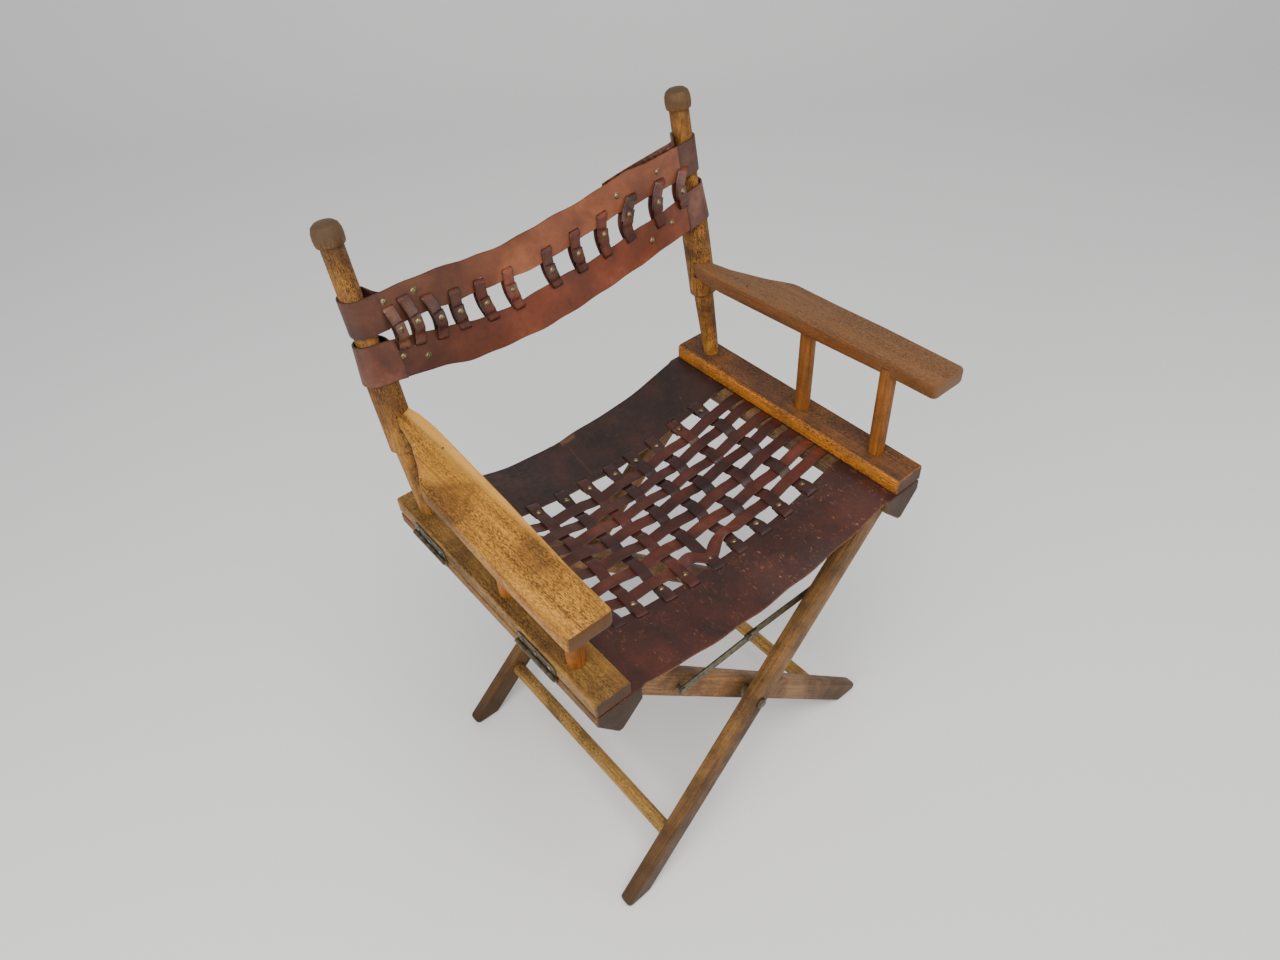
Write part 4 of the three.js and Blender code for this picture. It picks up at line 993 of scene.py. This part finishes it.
upper_loops = [-0.878, -0.796, -0.685, -0.537, -0.394, -0.225, 0.015, 0.188, 0.364, 0.559, 0.753, 0.92]
lower_loops = [-0.868, -0.784, -0.666, -0.532, -0.366, -0.209, 0.030, 0.194, 0.358, 0.516, 0.715, 0.878]
upper_in = [0.0236, 0.0283, 0.0191] + [0.0137] * 9
lower_in = [0.0118] * 3 + [0.0072] * 7 + [0.0160, 0.0118]
loop_wide = 0.014
back_hides = {
    "upper": hide("upper_band_leather", ((134, 76, 46), (100, 55, 35), (166, 104, 66), (40, 22, 16)),
                  0.15, 0.4, 0.4, 1.0, (0, -0.06, -0.14, (68, 39, 28), 0.92)),
    "lower": hide("lower_band_leather", ((116, 54, 28), (84, 40, 23), (142, 76, 44), (40, 22, 16)),
                  0.15, 0.4, 0.4, 1.0, (0, 0.0, -0.19, (52, 28, 20), 0.92)),
}
# The wraps' fourth tone is near black: their cut edges, and their backs painted dark as their dark side and as
# painted shade behind the posts.
wrap_hides = {
    "upper": hide("upper_wrap_leather", ((82, 48, 34), (58, 35, 27), (104, 62, 43), (36, 21, 16)),
                  0.3, 0.5, 0.42),
    "lower": hide("lower_wrap_leather", ((96, 54, 38), (68, 38, 30), (136, 92, 72), (36, 21, 16)),
                  0.3, 0.5, 0.4),
}


def hangs(piece):
    """Back leather between the posts rides with the right arm, on a mesh of its own."""
    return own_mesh(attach(piece, "arm_right"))


for name, places, depths in (("upper", upper_loops, upper_in), ("lower", lower_loops, lower_in)):
    band = bands[name]
    half = band["high"] / 2
    holes = []
    for share, depth in zip(places, depths):
        if abs(post_x * share) + loop_wide / 2 < span_half:
            holes.append(slot_hole(post_x * share, band["side"] * (depth - half), loop_wide * 0.92))
    ends, rims = [-span_half, span_half], [-half, -half + edge_cut, half - edge_cut, half]
    across = with_lines(evenly(-span_half, span_half, 96), ends + [hole[k] for hole in holes for k in (0, 1)])
    rows = sorted({hole[k] for hole in holes for k in (2, 3)})
    deep = with_lines([half * s for s in (-0.75, -0.5, -0.25, 0, 0.25, 0.5, 0.75)], rims + rows)
    points, faces, wear = sheet_part(across, deep, span_surface(band), holes)
    part = points, [face[::-1] for face in faces], wear
    flaps = [wrap_part(band, sign, tail, wrap_end, flap_end) for sign, tail in zip((-1, 1), band["flaps"])]
    span = shell(f"back_{name}_span", [part] + flaps, back_hides[name], 50)
    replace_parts(span, f"back_{name}_band")
    sum(area_of(piece) for piece in [part] + flaps)
    hangs(span)
    for side, sign, tail in (("left", -1, band["flaps"][0]), ("right", 1, band["flaps"][1])):
        part = wrap_part(band, sign, tail, 0, wrap_end)
        wrap = shell(f"back_{name}_{side}_wrap", [part], wrap_hides[name], 50)
        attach(wrap, f"arm_{side}")
        area_of(part) / band["high"] * 1.002
        area_of(part)

# Strap loops: twelve rings of strap lace the two bands together. Each passes a slot in either band and
# its two ends lap over each other in front under one rivet. The first three lean like crescents.
ring_half, lap_rise, inner_end, outer_end = 0.0036, 0.0027, 0.008, 0.0065
lap_shares = [0.50, 0.51, 0.51, 0.51, 0.47, 0.54, 0.49, 0.50, 0.56, 0.65, 0.58, 0.48]


def back_loop(k, bow, twist, swell):
    """A ring of strap through both bands, from its lapped end in front up, round behind and back, with
    its rivet and burr. It bows sideways, twists and swells forwards in the middle."""
    upper, lower = bands["upper"], bands["lower"]
    top_x, low_x = upper_loops[k] * post_x, lower_loops[k] * post_x
    top = band_middle(upper, top_x) - upper["high"] / 2 + upper_in[k]
    low = band_middle(lower, low_x) + lower["high"] / 2 - lower_in[k]
    top_y, low_y = band_front(upper, top_x), band_front(lower, low_x)
    lap = low + (top - low) * lap_shares[k]

    def place(z, offset):
        share = min(1.0, max(0.0, (z - low) / (top - low)))
        arc = sin(pi * share)
        x = low_x + (top_x - low_x) * share + bow * arc
        y = low_y + (top_y - low_y) * eased(share) - swell * arc + offset
        near = upper if share > 0.5 else lower
        rise = (band_middle(near, x + 0.004) - band_middle(near, x - 0.004)) / 0.008
        return leaning(x, y, z), Vector((cos(twist * arc), sin(twist * arc), rise))

    def half_turn(z, side):
        angles = [pi * i / 10 for i in range(1, 10)]
        return [place(z + side * ring_half * sin(a), -side * ring_half * cos(a)) for a in angles]

    low_end, high_end = low + ring_half, top - ring_half
    belly = [0.0012 * sin(pi * i / 14) for i in range(15)]
    line = [place(z, -ring_half + 0.0002) for z in evenly(lap - inner_end, high_end, 14)]
    line += half_turn(high_end, 1)
    line += [place(z, ring_half + b) for z, b in zip(reversed(evenly(low_end, high_end, 14)), belly)]
    line += half_turn(low_end, -1)
    for z in evenly(low_end, lap + outer_end, 14):
        line.append(place(z, -ring_half - lap_rise * eased((z - lap + 0.016) / 0.007)))
    facing = Vector((-sin(twist), -cos(twist) * cos(lean), sin(lean)))
    stud = place(lap, -ring_half - lap_rise - thick / 2)[0]
    foot = place(lap, -ring_half + thick / 2)[0]
    strap = ribbon([spot for spot, _ in line], [way for _, way in line], loop_wide)
    return strap, [rivet(stud, facing, 0.0038), burr(foot, -facing, 0.0030, 0.0008, 0.0003)]


# Bow, twist and swell of each loop, from the left
loop_shapes = [
    (0.002, 0.25, 0.003), (0.003, 0.20, 0.004), (0.004, 0.16, 0.003), (-0.0032, 0.10, 0.001),
    (-0.0040, 0.0, 0.0), (-0.0041, 0.0, 0.0), (-0.0045, 0.0, 0.0), (-0.0040, 0.0, 0.0),
    (-0.0050, 0.0, 0.0), (-0.0099, -0.20, 0.001), (-0.0088, -0.05, 0.001), (-0.0090, 0.0, 0.002),
]
# Painted shade: the loops' fourth tone, on their edges, is near black for the shade inside each loop.
loop_tones = {
    "warm": ((104, 48, 30), (58, 28, 20), (150, 92, 62), (30, 17, 13)),
    "worn": ((86, 46, 33), (48, 27, 20), (134, 90, 66), (28, 17, 13)),
}
loop_hides = {n: hide(f"{n}_loop_leather", tones, 0.0, 0.5, 0.3, 0.7) for n, tones in loop_tones.items()}
studs, tangled = [], []
for k in range(len(upper_loops)):
    strap, rivets = back_loop(k, *loop_shapes[k])
    studs += rivets
    if k < 3:
        tangled.append(strap)
        continue
    made = shell(f"lacing_loop_{k - 2}", [strap], loop_hides["worn" if k % 3 == 0 else "warm"], 30)
    hangs(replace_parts(made, f"back_loop_{k - 2}"))
made = shell("tangled_loops", tangled, loop_hides["worn"], 30)
hangs(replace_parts(made, "back_tangled_loops"))
hangs(shell("loop_rivets", studs, antique_brass, 40))

# Flap rivets: two antique brass domes on each end of each back band, through the band and its flap. A
# spot gives how far along the band a rivet stands, and how far above its middle.
flap_spots = {
    "upper": ((-0.209, 0.0105), (-0.173, 0.0085), (0.176, 0.0035), (0.111, 0.0015)),
    "lower": ((-0.209, 0.0020), (-0.181, -0.0045), (0.185, 0.0020), (0.1515, -0.0020)),
}
studs, facing = [], Vector((0, -cos(lean), sin(lean)))
for name, spots in flap_spots.items():
    for x, v in spots:
        studs.append(rivet(span_surface(bands[name])(x, v) + facing * thick / 2, facing, 0.0041))
hangs(shell("flap_rivets", studs, antique_brass, 40))
